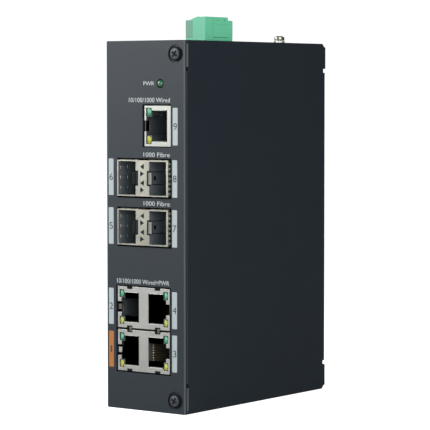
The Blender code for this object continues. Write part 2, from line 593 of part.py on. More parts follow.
def din_plate():
    """The clip's plate: two fixed hooks at the top, a guide on each side of the latch, and a spring stop."""
    plate = box((-CLIP_HALF, CLIP_HALF), CLIP_Y, CLIP_Z)
    added = []
    behind = CLIP_Y[1] + HOOK_GAP
    for side in (-1, 1):
        x = (side * 5.0, side * CLIP_HALF)
        added.append(box(x, (CLIP_Y[1] - 0.5, behind + HOOK_SHEET), (RAIL_TOP, RAIL_TOP + 1.6)))
        added.append(box(x, (behind, behind + HOOK_SHEET), (RAIL_TOP - HOOK_DROP, RAIL_TOP + 1.0)))
        guide_x = (side * (LATCH_HALF + GAP), side * (LATCH_HALF + GAP + 1.5))
        lip_x = (side * (LATCH_HALF - 1.2), side * (LATCH_HALF + GAP + 1.5))
        lip_y = CLIP_Y[1] + GAP + LATCH_SHEET + GAP
        added.append(box(guide_x, (CLIP_Y[1] - 0.5, lip_y + 1.0), (50.0, 57.0)))
        added.append(box(lip_x, (lip_y, lip_y + 1.2), (50.0, 57.0)))
    added.append(box((-2.0, 2.0), (CLIP_Y[1] - 0.5, CLIP_Y[1] + 4.2), (SPRING_Z[0] - 1.8, SPRING_Z[0] - GAP)))
    plate_cuts = []
    for z in CLIP_SCREWS:
        plate_cuts.append(rod((0, CLIP_Y[0] - 1, z), (0, CLIP_Y[1] + 1, z), SHANK_RADIUS + GAP))
        plate_cuts.append(rod((0, CLIP_Y[0] + 0.3, z), (0, CLIP_Y[1] + 0.01, z), SHANK_RADIUS + GAP, tip=3.2))
    plate_cuts.append(box((-4.0, 4.0), (CLIP_Y[0] - 1, CLIP_Y[1] + 1), (73.0, 81.0)))
    piece("din_clip_plate", ZINC, plate, add=added, cut=plate_cuts)


def din_latch():
    """The sliding latch that holds the rail's lower edge, with a slot in its foot for a screwdriver."""
    y = (CLIP_Y[1] + GAP, CLIP_Y[1] + GAP + LATCH_SHEET)
    plate = box((-LATCH_HALF, LATCH_HALF), y, (LATCH_FOOT, RAIL_BOTTOM - GAP))
    hook_y = (CLIP_Y[1] + HOOK_GAP, CLIP_Y[1] + HOOK_GAP + HOOK_SHEET)
    hook = box((-LATCH_HALF + 1.5, LATCH_HALF - 1.5), hook_y, (57.6, RAIL_BOTTOM + 2.5))
    window = box((-2.6, 2.6), (y[0] - 1, y[1] + 1), (LATCH_FOOT + 2.2, SPRING_Z[1] + GAP))
    slot = box((-2.0, 2.0), (y[0] - 1, y[1] + 1), (LATCH_FOOT + 0.8, LATCH_FOOT + 1.6))
    piece("din_latch", ZINC, plate, add=(hook,), cut=(window, slot))


def din_spring():
    """The compression spring that keeps the latch up."""
    curve = bpy.data.curves.new("spring_path", "CURVE")
    curve.dimensions = "3D"
    curve.bevel_depth = SPRING_WIRE * MM
    curve.bevel_resolution = 1
    curve.use_fill_caps = True
    steps = SPRING_TURNS * 10
    spline = curve.splines.new("POLY")
    spline.points.add(steps)
    low, high = SPRING_Z[0] + SPRING_WIRE, SPRING_Z[1] - SPRING_WIRE
    middle_y = CLIP_Y[1] + GAP + SPRING_RADIUS + SPRING_WIRE
    for index, point in enumerate(spline.points):
        turn = 2 * math.pi * index / 10
        spot = Vector((SPRING_RADIUS * math.cos(turn), SPRING_RADIUS * math.sin(turn), 0.0))
        spot += Vector((0.0, middle_y, low + (high - low) * index / steps))
        point.co = (*(spot * MM), 1.0)
    spring = bpy.data.objects.new("din_spring", curve)
    curve.materials.append(ZINC)
    PARTS.objects.link(spring)


def din_screws():
    """Countersunk screws that fix the plate to the rear panel, flush with the plate."""
    for number, z in enumerate(CLIP_SCREWS, 1):
        head = rod((0, CLIP_Y[0] + 0.62, z), (0, CLIP_Y[1] - 0.1, z), SHANK_RADIUS, tip=2.6)
        stem = rod((0, CLIP_Y[0] - 5, z), (0, CLIP_Y[0] + 0.8, z), SHANK_RADIUS)
        cuts = [box(sides_of(0, 0.3), (CLIP_Y[1] - 0.8, CLIP_Y[1] + 1), sides_of(z, 1.5))]
        cuts.append(box(sides_of(0, 1.5), (CLIP_Y[1] - 0.8, CLIP_Y[1] + 1), sides_of(z, 0.3)))
        piece(f"din_screw_{number}", ZINC, head, add=(stem,), cut=cuts)


def main():
    """Builds every piece."""
    chassis_tray()
    side_cover()
    cover_screws()
    main_board()
    copper_sockets()
    power_led()
    fibre_cages()
    terminal_header()
    terminal_plug()
    terminal_screws()
    earth_point()
    din_plate()
    din_latch()
    din_spring()
    din_screws()


main()
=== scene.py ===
"""The looks of an upright Ethernet switch for a 35 mm rail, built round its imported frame.

Fields of the classes are in millimetres, in the frame's own axes: +X to the right of someone who faces
the sockets, +Y to the rear and +Z up, from the centre of the case's bottom face. Every finished piece
stands at the origin with its place in its mesh, and rides on one of the frame's bodies.
"""

from __future__ import annotations

import contextlib
import functools
import logging
import math
from dataclasses import dataclass, field
from enum import Enum
from typing import Any, Callable, Iterable, Iterator, Sequence

import bmesh
import bpy
from mathutils import Matrix, Vector

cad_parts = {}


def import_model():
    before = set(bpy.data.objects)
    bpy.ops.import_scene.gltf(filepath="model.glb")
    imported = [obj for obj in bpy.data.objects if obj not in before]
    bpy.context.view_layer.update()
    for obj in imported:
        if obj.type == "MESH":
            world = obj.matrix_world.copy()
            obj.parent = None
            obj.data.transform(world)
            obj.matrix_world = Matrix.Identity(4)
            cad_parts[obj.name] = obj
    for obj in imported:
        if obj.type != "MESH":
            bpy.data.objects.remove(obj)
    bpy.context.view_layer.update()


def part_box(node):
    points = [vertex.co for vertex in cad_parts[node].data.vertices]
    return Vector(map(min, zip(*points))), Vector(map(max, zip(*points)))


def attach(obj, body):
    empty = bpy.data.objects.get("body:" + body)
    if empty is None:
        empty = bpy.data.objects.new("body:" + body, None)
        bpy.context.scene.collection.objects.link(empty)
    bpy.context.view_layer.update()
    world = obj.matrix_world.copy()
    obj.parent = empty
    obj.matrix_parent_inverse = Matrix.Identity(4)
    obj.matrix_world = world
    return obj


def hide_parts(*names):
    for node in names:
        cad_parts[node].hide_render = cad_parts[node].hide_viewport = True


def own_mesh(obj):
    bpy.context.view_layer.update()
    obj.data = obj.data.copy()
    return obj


MM = 0.001
MERGE = 0.002 * MM  # points nearer than this become one
FLAT = math.radians(0.6)  # faces that meet at less than this become one
HAIR = 0.03  # how far print and other skins stand off what they lie on

Colour = tuple[float, float, float]
Span = tuple[float, float]
Triple = tuple[float, float, float]
NodeOut, NodeTree = bpy.types.NodeSocket, bpy.types.NodeTree
AnyNode, Thing = bpy.types.Node, bpy.types.Object

log = logging.getLogger("network_switch")


class Slot(Enum):
    """The record's material slots."""

    PAINT = "case_paint"
    SCREW = "black_screw"
    BOARD = "board"
    NICKEL = "nickel"
    ALUMINIUM = "bare_aluminium"
    BLACK = "black_plastic"
    SHIELD = "tinned_shield"
    GREEN_LENS = "green_lens"
    YELLOW_LENS = "yellow_lens"
    CLEAR = "clear_plastic"
    GREEN = "green_plastic"
    ZINC = "zinc"


# --- Node trees ---


class Graph:
    """A node tree, with short calls that add nodes and join them."""

    def __init__(self, tree: NodeTree) -> None:
        """Takes the tree to work on.

        Args:
            tree: A shader or geometry node tree.
        """
        self.tree = tree

    def feed(self, socket: NodeOut, value: Any) -> None:
        """Links an output to a socket, or sets the socket's own value.

        Args:
            socket: The input socket.
            value: An output socket, or a plain value.
        """
        if isinstance(value, NodeOut):
            self.tree.links.new(value, socket)
        else:
            socket.default_value = value

    def add(self, kind: str, inputs: dict[Any, Any] | None = None, **settings: Any) -> AnyNode:
        """Adds a node.

        Args:
            kind: The node's type name.
            inputs: Values or sockets by input name or number.
            **settings: The node's own properties.

        Returns:
            The new node.
        """
        node = self.tree.nodes.new(kind)
        for key, value in settings.items():
            setattr(node, key, value)
        for key, value in (inputs or {}).items():
            self.feed(node.inputs[key], value)
        return node

    def math(self, operation: str, first: Any, second: Any = 0.0, clamp: bool = False) -> NodeOut:
        """The result of one sum, such as MULTIPLY, on two values or sockets."""
        node = self.add("ShaderNodeMath", {0: first, 1: second}, operation=operation, use_clamp=clamp)
        return node.outputs[0]

    def group(self, tree: NodeTree, **inputs: Any) -> AnyNode:
        """Adds a shader group, with underscores for the spaces in its inputs' names."""
        named = {key.replace("_", " "): value for key, value in inputs.items()}
        return self.add("ShaderNodeGroup", named, node_tree=tree)

    def geo(self, kind: str, inputs: dict[Any, Any] | None = None, **settings: Any) -> AnyNode:
        """Adds a geometry node, by its type name without the GeometryNode before it."""
        return self.add("GeometryNode" + kind, inputs, **settings)

    def times(self, first: Any, second: Any, clamp: bool = False) -> NodeOut:
        """The product of two values or sockets."""
        return self.math("MULTIPLY", first, second, clamp)

    def vector(self, x: Any = 0.0, y: Any = 0.0, z: Any = 0.0) -> NodeOut:
        """A vector from three values or sockets."""
        return self.add("ShaderNodeCombineXYZ", {0: x, 1: y, 2: z}).outputs[0]


def new_group(
    name: str, kind: str, inputs: dict[str, tuple[str, Any]], outputs: dict[str, str]
) -> tuple[Graph, Any, Any]:
    """Makes a node group with named sockets.

    Args:
        name: The group's name.
        kind: ShaderNodeTree or GeometryNodeTree.
        inputs: Socket type and default value by input name. A default of None is left alone.
        outputs: Socket type by output name.

    Returns:
        The group's graph, its inputs' sockets and its outputs' sockets.
    """
    tree = bpy.data.node_groups.new(name, kind)
    for label, (socket_type, default) in inputs.items():
        socket = tree.interface.new_socket(label, in_out="INPUT", socket_type=socket_type)
        if default is not None:
            socket.default_value = default
    for label, socket_type in outputs.items():
        tree.interface.new_socket(label, in_out="OUTPUT", socket_type=socket_type)
    graph = Graph(tree)
    return graph, graph.add("NodeGroupInput").outputs, graph.add("NodeGroupOutput").inputs


FLOAT, VECTOR, INTEGER = "NodeSocketFloat", "NodeSocketVector", "NodeSocketInt"
GEOMETRY, MATERIAL = "NodeSocketGeometry", "NodeSocketMaterial"


def new_repeat(name: str, sizes: dict[str, tuple[str, Any]]) -> tuple[Graph, Any, Any]:
    """A geometry tree that takes points, sizes and a finish, and gives a geometry."""
    inputs = {"Geometry": (GEOMETRY, None), **sizes, "Finish": (MATERIAL, None)}
    return new_group(name, "GeometryNodeTree", inputs, {"Geometry": GEOMETRY})


@functools.cache
def grain_group() -> NodeTree:
    """Fine pebbled grain, as of powder coat or a spark-eroded mould.

    Returns:
        A group that gives a Height for bump and a slow Tone for colour, both from 0 to 1.
    """
    inputs = {"Vector": (VECTOR, None), "Scale": (FLOAT, 1500.0), "Patch scale": (FLOAT, 60.0)}
    graph, given, result = new_group("surface_grain", "ShaderNodeTree", inputs,
        {"Height": FLOAT, "Tone": FLOAT})
    place, scale = given["Vector"], given["Scale"]
    pebbles = graph.add("ShaderNodeTexVoronoi", {"Vector": place, "Scale": scale}, feature="SMOOTH_F1")
    specks = graph.add("ShaderNodeTexNoise", {"Vector": place, "Scale": scale, "Detail": 3.0})
    height = graph.math("ADD", graph.times(pebbles.outputs["Distance"], 0.6),
        graph.times(specks.outputs["Fac"], 0.5))
    patches = graph.add(
        "ShaderNodeTexNoise", {"Vector": place, "Scale": given["Patch scale"], "Detail": 4.0}
    )
    graph.feed(result["Height"], height)
    graph.feed(result["Tone"], patches.outputs["Fac"])
    return graph.tree


@functools.cache
def rolled_group() -> NodeTree:
    """The long fine lines of rolled and plated sheet.

    Returns:
        A group that gives a Height for bump and a Tone for colour and roughness, both from 0 to 1.
    """
    inputs = {"Vector": (VECTOR, None), "Stretch": (VECTOR, (1.0, 1.0, 1.0)), "Scale": (FLOAT, 900.0)}
    graph, given, result = new_group("rolled_sheet", "ShaderNodeTree", inputs,
        {"Height": FLOAT, "Tone": FLOAT})
    drawn = graph.add("ShaderNodeVectorMath", {0: given["Vector"], 1: given["Stretch"]},
        operation="MULTIPLY")
    lines = graph.add("ShaderNodeTexNoise", {"Vector": drawn.outputs[0], "Scale": given["Scale"],
        "Detail": 5.0, "Roughness": 0.6})
    cloud = graph.add("ShaderNodeTexNoise", {"Vector": given["Vector"], "Scale": 140.0, "Detail": 3.0})
    tone = graph.times(graph.math("ADD", lines.outputs["Fac"], cloud.outputs["Fac"]), 0.5)
    graph.feed(result["Height"], lines.outputs["Fac"])
    graph.feed(result["Tone"], tone)
    return graph.tree


@functools.cache
def marks_group() -> NodeTree:
    """Faint rubs and finger marks from handling.

    Returns:
        A group that gives a Mask from 0 to 1. Cover sets how much of the surface is marked.
    """
    inputs = {"Vector": (VECTOR, None), "Scale": (FLOAT, 45.0), "Cover": (FLOAT, 0.4)}
    graph, given, result = new_group("handling_marks", "ShaderNodeTree", inputs, {"Mask": FLOAT})
    place = given["Vector"]
    smudge = graph.add("ShaderNodeTexNoise", {"Vector": place, "Scale": given["Scale"], "Detail": 6.0,
        "Distortion": 0.8})
    fine = graph.add("ShaderNodeTexNoise", {"Vector": place, "Scale": 700.0, "Detail": 2.0})
    above = graph.math("SUBTRACT", smudge.outputs["Fac"], graph.math("SUBTRACT", 0.75, given["Cover"]))
    soft = graph.times(above, 3.0, clamp=True)
    graph.feed(result["Mask"], graph.times(soft, fine.outputs["Fac"], clamp=True))
    return graph.tree


@functools.cache
def dust_group() -> NodeTree:
    """A thin film of dust that lies on faces that look up.

    Returns:
        A group that gives a Mask from 0 to 1.
    """
    inputs = {"Vector": (VECTOR, None), "Amount": (FLOAT, 0.25)}
    graph, given, result = new_group("settled_dust", "ShaderNodeTree", inputs, {"Mask": FLOAT})
    normal = graph.add("ShaderNodeNewGeometry").outputs["Normal"]
    upward = graph.add("ShaderNodeSeparateXYZ", {0: normal}).outputs["Z"]
    flecks = graph.add("ShaderNodeTexNoise", {"Vector": given["Vector"], "Scale": 420.0, "Detail": 5.0})
    lying = graph.times(graph.math("SUBTRACT", upward, 0.5, clamp=True), flecks.outputs["Fac"])
    graph.feed(result["Mask"], graph.times(lying, given["Amount"], clamp=True))
    return graph.tree


# --- Finishes ---


@dataclass(frozen=True)
class Finish:
    """What every finish has: a name, its record slot, a colour and how rough it is."""

    name: str
    slot: Slot | None
    colour: Colour
    roughness: float = 0.5

    def material(self) -> bpy.types.Material:
        """The finish as a material, made the first time that it is asked for.

        Returns:
            The material.
        """
        made = bpy.data.materials.get(self.name)
        if made is None:
            made = bpy.data.materials.new(self.name)
            made.use_nodes = True
            graph = Graph(made.node_tree)
            shader = made.node_tree.nodes["Principled BSDF"]
            place = graph.add("ShaderNodeTexCoord").outputs["Object"]
            self.dress(graph, shader, place)
            made.diffuse_color = (*self.colour, 1.0)
        return made

    def dress(self, graph: Graph, shader: AnyNode, place: NodeOut) -> None:
        """Joins the finish's own nodes to the shader."""
        raise NotImplementedError

    def tinted(
        self, graph: Graph, factor: NodeOut, low: Colour, high: Colour
    ) -> NodeOut:
        """A colour that runs from low to high with a factor."""
        inputs = {"Factor": factor, "A": (*low, 1.0), "B": (*high, 1.0)}
        return mixed(graph, inputs)

    def shade(self, share: float) -> Colour:
        """The finish's colour, made darker or lighter by a share."""
        return tuple(min(1.0, part * share) for part in self.colour)

    def bump(
        self, graph: Graph, shader: AnyNode, height: NodeOut, depth: float, strength: float
    ) -> None:
        """Feeds the shader's normal from a height.

        Args:
            graph: The material's graph.
            shader: The Principled BSDF.
            height: The height, from 0 to 1.
            depth: How deep a height of 1 is, in millimetres.
            strength: How much of it shows.
        """
        node = graph.add("ShaderNodeBump", {"Height": height, "Strength": strength, "Distance": depth * MM})
        graph.feed(shader.inputs["Normal"], node.outputs["Normal"])

    def roughened(self, graph: Graph, shader: AnyNode, factor: Any, low: float, high: float) -> None:
        """Feeds the shader's roughness from a factor, from low to high."""
        span = graph.add("ShaderNodeMapRange", {"Value": factor, "To Min": low, "To Max": high})
        graph.feed(shader.inputs["Roughness"], span.outputs["Result"])


def mixed(graph: Graph, inputs: dict[str, Any]) -> NodeOut:
    """A colour mix of A and B by Factor.

    Args:
        graph: The graph that the mix is added to.
        inputs: Factor, A and B, each a value or a socket.

    Returns:
        The mixed colour's socket.
    """
    node = graph.add("ShaderNodeMix", data_type="RGBA")
    factor, first, second = node.inputs[0], node.inputs[6], node.inputs[7]
    for socket, key in ((factor, "Factor"), (first, "A"), (second, "B")):
        graph.feed(socket, inputs[key])
    return node.outputs[2]


@dataclass(frozen=True)
class PowderCoat(Finish):
    """Matt powder coat with a fine grain, rubbed a little and dusty on top."""

    grain_scale: float = 2300.0
    grain_depth: float = 0.03
    sheen: float = 0.4

    def dress(self, graph: Graph, shader: AnyNode, place: NodeOut) -> None:
        """Joins grain, rubs and dust to the shader.

        Args:
            graph: The material's graph.
            shader: The Principled BSDF.
            place: Object coordinates.
        """
        grain = graph.group(grain_group(), Vector=place, Scale=self.grain_scale)
        marks = graph.group(marks_group(), Vector=place)
        dust = graph.group(dust_group(), Vector=place)
        base = self.tinted(graph, grain.outputs["Tone"], self.shade(0.88), self.shade(1.12))
        speckled = mixed(graph, {"Factor": graph.times(grain.outputs["Height"], 0.22), "A": base,
            "B": (*self.shade(1.6), 1.0)})
        dusty = mixed(graph, {"Factor": dust.outputs["Mask"], "A": speckled, "B": (0.35, 0.34, 0.32, 1.0)})
        graph.feed(shader.inputs["Base Color"], dusty)
        self.roughened(graph, shader, marks.outputs["Mask"], self.roughness, self.roughness - 0.09)
        shader.inputs["Specular IOR Level"].default_value = self.sheen
        self.bump(graph, shader, grain.outputs["Height"], self.grain_depth, 0.35)


@dataclass(frozen=True)
class Plated(Finish):
    """Plated or bare sheet metal with rolling lines along one axis."""

    metallic: float = 1.0
    stretch: Triple = (1.0, 0.06, 1.0)
    contrast: float = 0.12

    def dress(self, graph: Graph, shader: AnyNode, place: NodeOut) -> None:
        """Joins the rolling lines and finger marks to the shader.

        Args:
            graph: The material's graph.
            shader: The Principled BSDF.
            place: Object coordinates.
        """
        rolled = graph.group(rolled_group(), Vector=place, Stretch=self.stretch)
        marks = graph.group(marks_group(), Vector=place, Scale=120.0)
        low, high = self.shade(1 - self.contrast), self.shade(1 + self.contrast)
        base = self.tinted(graph, rolled.outputs["Tone"], low, high)
        graph.feed(shader.inputs["Base Color"], base)
        shader.inputs["Metallic"].default_value = self.metallic
        spread = graph.math("ADD", rolled.outputs["Tone"], graph.times(marks.outputs["Mask"], 0.6))
        self.roughened(graph, shader, spread, self.roughness - 0.08, self.roughness + 0.1)
        self.bump(graph, shader, rolled.outputs["Height"], 0.01, 0.25)


@dataclass(frozen=True)
class Moulded(Finish):
    """Moulded plastic with a fine tool grain and slightly uneven colour."""

    sheen: float = 0.4
    grain_scale: float = 1800.0
    grain_depth: float = 0.012

    def dress(self, graph: Graph, shader: AnyNode, place: NodeOut) -> None:
        """Joins the tool grain and uneven colour to the shader.

        Args:
            graph: The material's graph.
            shader: The Principled BSDF.
            place: Object coordinates.
        """
        grain = graph.group(grain_group(), Vector=place, Scale=self.grain_scale, Patch_scale=110.0)
        dust = graph.group(dust_group(), Vector=place, Amount=0.15)
        base = self.tinted(graph, grain.outputs["Tone"], self.shade(0.93), self.shade(1.07))
        dusty = mixed(graph, {"Factor": dust.outputs["Mask"], "A": base, "B": (0.6, 0.6, 0.58, 1.0)})
        graph.feed(shader.inputs["Base Color"], dusty)
        self.roughened(graph, shader, grain.outputs["Tone"], self.roughness - 0.05, self.roughness + 0.05)
        shader.inputs["Specular IOR Level"].default_value = self.sheen
        self.bump(graph, shader, grain.outputs["Height"], self.grain_depth, 0.3)


@dataclass(frozen=True)
class Lens(Finish):
    """A tinted clear moulding, with faint flow marks in its colour and gloss."""

    def dress(self, graph: Graph, shader: AnyNode, place: NodeOut) -> None:
        """Joins the flow marks to the shader.

        Args:
            graph: The material's graph.
            shader: The Principled BSDF.
            place: Object coordinates.
        """
        flow = graph.add("ShaderNodeTexNoise", {"Vector": place, "Scale": 900.0, "Detail": 2.0})
        graph.feed(shader.inputs["Base Color"], self.tinted(graph, flow.outputs["Fac"], self.shade(0.7),
            self.shade(1.3)))
        self.roughened(graph, shader, flow.outputs["Fac"], self.roughness, self.roughness + 0.06)
        shader.inputs["Coat Weight"].default_value = 0.6
        shader.inputs["Coat Roughness"].default_value = 0.06
        shader.inputs["Subsurface Weight"].default_value = 0.15
        shader.inputs["Subsurface Scale"].default_value = 0.4 * MM


@dataclass(frozen=True)
class Ink(Finish):
    """Screen-printed ink, slightly uneven where it lies on the grain below."""

    patchy: float = 0.1
    sheen: float = 0.4

    def dress(self, graph: Graph, shader: AnyNode, place: NodeOut) -> None:
        """Joins the uneven ink to the shader.

        Args:
            graph: The material's graph.
            shader: The Principled BSDF.
            place: Object coordinates.
        """
        grain = graph.group(grain_group(), Vector=place, Patch_scale=320.0)
        low, high = self.shade(1 - self.patchy), self.shade(1 + self.patchy)
        graph.feed(shader.inputs["Base Color"], self.tinted(graph, grain.outputs["Tone"], low, high))
        self.roughened(graph, shader, grain.outputs["Tone"], self.roughness - 0.06, self.roughness + 0.06)
        shader.inputs["Specular IOR Level"].default_value = self.sheen
        self.bump(graph, shader, grain.outputs["Height"], 0.015, 0.3)


@dataclass(frozen=True)
class SolderMask(Finish):
    """A board's solder mask, with tracks that show through it."""

    track: Colour = (0.05, 0.25, 0.12)

    def dress(self, graph: Graph, shader: AnyNode, place: NodeOut) -> None:
        """Joins the tracks and the mask's gloss to the shader.

        Args:
            graph: The material's graph.
            shader: The Principled BSDF.
            place: Object coordinates.
        """
        turned = graph.add("ShaderNodeMapping", {"Vector": place, "Rotation": (0.0, math.pi / 2, 0.0)})
        bricks = graph.add(
            "ShaderNodeTexBrick",
            {"Vector": turned.outputs[0], "Scale": 260.0, "Mortar Size": 0.02, "Color1": (0, 0, 0, 1),
             "Color2": (0.25, 0.25, 0.25, 1), "Mortar": (1, 1, 1, 1)},
        )
        cells = graph.add("ShaderNodeTexVoronoi", {"Vector": place, "Scale": 210.0}, distance="MANHATTAN")
        lines = graph.math("LESS_THAN", cells.outputs["Distance"], 0.22)
        shown = graph.math("MAXIMUM", bricks.outputs["Color"], lines)
        graph.feed(shader.inputs["Base Color"], self.tinted(graph, shown, self.colour, self.track))
        self.roughened(graph, shader, shown, self.roughness, self.roughness + 0.12)
        self.bump(graph, shader, shown, 0.03, 0.5)


PAINT = PowderCoat("dark_powder_coat", Slot.PAINT, (0.0080, 0.0138, 0.0200), roughness=0.55)
# Lighter copy of the paint: a painted highlight on the front panel's right edge and the cover's front bend.
EDGE_HIGHLIGHT_PAINT = PowderCoat("edge_highlight_coat", Slot.PAINT, (0.050, 0.060, 0.068), roughness=0.5)
BLACK_OXIDE = Plated("black_oxide_steel", Slot.SCREW, (0.050, 0.056, 0.063), 0.5, metallic=0.4)
# Near-black and low-sheen: painted shade, for the rings round the cover screws, their recesses and the
# shield notches.
PAINTED_SHADE_BLACK = Moulded("painted_shade_black", Slot.SCREW, (0.008, 0.009, 0.011), 0.7, sheen=0.05)
NICKEL = Plated("nickel_plate", Slot.NICKEL, (0.40, 0.397, 0.342), 0.33)
TONGUE_NICKEL = Plated("tongue_nickel", Slot.NICKEL, (0.24, 0.245, 0.225), 0.5, contrast=0.05)
BRIGHT_NICKEL = Plated("bright_nickel", Slot.NICKEL, (0.80, 0.80, 0.76), 0.42, contrast=0.05)
FINGER_NICKEL = Plated("finger_nickel", Slot.NICKEL, (0.36, 0.355, 0.31), 0.45)
# Near-black copy of the tongue nickel: painted shade on the left ports' latch tongues.
SHADOWED_TONGUE_NICKEL = Moulded("shadowed_tongue_nickel", Slot.NICKEL, (0.012, 0.014, 0.016), 0.6, sheen=0.08)
TINNED = Plated("tinned_brass", Slot.SHIELD, (0.47, 0.475, 0.45), 0.36, stretch=(1.0, 0.1, 0.35))
ZINC = Plated("zinc_plate", Slot.ZINC, (0.55, 0.57, 0.60), 0.36, stretch=(0.3, 1.0, 0.06))
ALUMINIUM = Plated("bare_aluminium", Slot.ALUMINIUM, (0.74, 0.75, 0.77), 0.34, stretch=(0.05, 1.0, 1.0))
BRIGHT_TIN = Plated("bright_tin", Slot.SHIELD, (0.37, 0.38, 0.355), 0.40, contrast=0.05)
TIN_PINS = Plated("tinned_pins", Slot.SHIELD, (0.74, 0.74, 0.72), 0.3, stretch=(1.0, 1.0, 0.1))
SPRING_STEEL = Plated("spring_steel", Slot.ZINC, (0.50, 0.51, 0.53), 0.3, stretch=(1.0, 1.0, 1.0))
DULL_STEEL = Plated("dull_steel", None, (0.10, 0.085, 0.07), 0.5, metallic=0.7)
# Darker copy of the nickel: painted shade inside the cages, on the fingers within them and on the latch
# tongues' deep parts.
SHADED_NICKEL = Plated("shaded_nickel_interior", Slot.NICKEL, (0.115, 0.135, 0.15), 0.5, metallic=0.3)
GOLD = Plated("gold_flash", None, (0.90, 0.68, 0.32), 0.34, contrast=0.06)
# Dark copy of the gold: painted shade on the contact wires inside the sockets.
SHADED_GOLD_WIRE = Plated("shaded_gold_wire", None, (0.10, 0.075, 0.035), 0.5, metallic=0.7)
BLACK_NYLON = Moulded("black_nylon", Slot.BLACK, (0.045, 0.054, 0.060), 0.48)
GREEN_NYLON = Moulded("pale_green_polyamide", Slot.GREEN, (0.160, 0.62, 0.375), 0.46)
# Darker copy of the green: painted shade on the front end faces of the plug, its skirt and the header.
END_FACE_SHADE_GREEN = Moulded("end_face_shaded_green", Slot.GREEN, (0.103, 0.40, 0.248), 0.5)
# Greyer, darker copy of the green: painted shade on the left of the plug's end face.
SHADED_GREEN = Moulded("shaded_green_polyamide", Slot.GREEN, (0.105, 0.27, 0.195), 0.5)
# The socket lenses come in plain, painted-shade and painted-highlight copies of each colour.
GREEN_LENS = Lens("green_light_lens", Slot.GREEN_LENS, (0.025, 0.22, 0.12), 0.16)
GREEN_LENS_HIGHLIGHT = Lens("green_light_painted_highlight", Slot.GREEN_LENS, (0.11, 0.40, 0.25), 0.16)
GREEN_LENS_SHADE = Lens("green_light_painted_shade", Slot.GREEN_LENS, (0.006, 0.10, 0.045), 0.2)
DEEP_GREEN_LENS = Lens("power_light_lens", Slot.GREEN_LENS, (0.024, 0.115, 0.044), 0.12)
YELLOW_LENS = Lens("yellow_light_lens", Slot.YELLOW_LENS, (0.28, 0.31, 0.022), 0.16)
YELLOW_LENS_HIGHLIGHT = Lens("yellow_light_painted_highlight", Slot.YELLOW_LENS, (0.42, 0.44, 0.09), 0.16)
YELLOW_LENS_SHADE = Lens("yellow_light_painted_shade", Slot.YELLOW_LENS, (0.17, 0.18, 0.012), 0.2)
LIGHTS = {"green": (GREEN_LENS, GREEN_LENS_SHADE, GREEN_LENS_HIGHLIGHT), "yellow": (YELLOW_LENS, YELLOW_LENS_SHADE, YELLOW_LENS_HIGHLIGHT)}
CLEAR_PIPE = Lens("clear_light_pipe", Slot.CLEAR, (0.085, 0.10, 0.12), 0.14)
SOLDER_MASK = SolderMask("green_solder_mask", Slot.BOARD, (0.02, 0.12, 0.06), 0.32)
FERRITE = Moulded("dark_ferrite", Slot.BLACK, (0.035, 0.034, 0.036), 0.6, sheen=0.3, grain_scale=900.0,
    grain_depth=0.03)
TAPE = Moulded("winding_tape", None, (0.62, 0.42, 0.05), 0.35, sheen=0.5, grain_scale=500.0)
CERAMIC = Moulded("ceramic_parts", None, (0.36, 0.27, 0.17), 0.4)
WHITE_INK = Ink("white_ink", None, (0.46, 0.495, 0.505), 0.5)
WINDOW_INK = Ink("dark_window_ink", None, (0.022, 0.027, 0.036), 0.6, sheen=0.1)
STRIP_INK = Ink("pale_strip_ink", None, (0.32, 0.375, 0.383), 0.5, patchy=0.05)
ORANGE_INK = Ink("orange_strip_ink", None, (0.335, 0.120, 0.024), 0.5, patchy=0.05)
DARK_INK = Ink("dark_digit_ink", None, (0.05, 0.06, 0.065), 0.6, sheen=0.1)


# --- Shapes ---


def new_object(name: str, data: bpy.types.ID) -> Thing:
    """An object in the scene.

    Args:
        name: The object's name.
        data: Its mesh, light or camera.

    Returns:
        The object.
    """
    made = bpy.data.objects.new(name, data)
    bpy.context.scene.collection.objects.link(made)
    return made


def settled(obj: Thing) -> Thing:
    """Turns an object's evaluated shape into its plain mesh, and clears its modifiers.

    Args:
        obj: The object, of any type that has a shape. A curve or a text is replaced.

    Returns:
        An object of type MESH with the same name, at the origin.
    """
    bpy.context.view_layer.update()
    graph = bpy.context.evaluated_depsgraph_get()
    mesh = bpy.data.meshes.new_from_object(obj.evaluated_get(graph), depsgraph=graph)
    mesh.transform(obj.matrix_world)
    name = obj.name
    bpy.data.objects.remove(obj)
    mesh.name = name
    return new_object(name, mesh)


@contextlib.contextmanager
def edited(mesh: bpy.types.Mesh) -> Iterator[bmesh.types.BMesh]:
    """Opens a mesh for editing, and writes it back at the end.

    Args:
        mesh: The mesh.

    Yields:
        The open mesh.
    """
    bm = bmesh.new()
    bm.from_mesh(mesh)
    yield bm
    bm.to_mesh(mesh)
    bm.free()


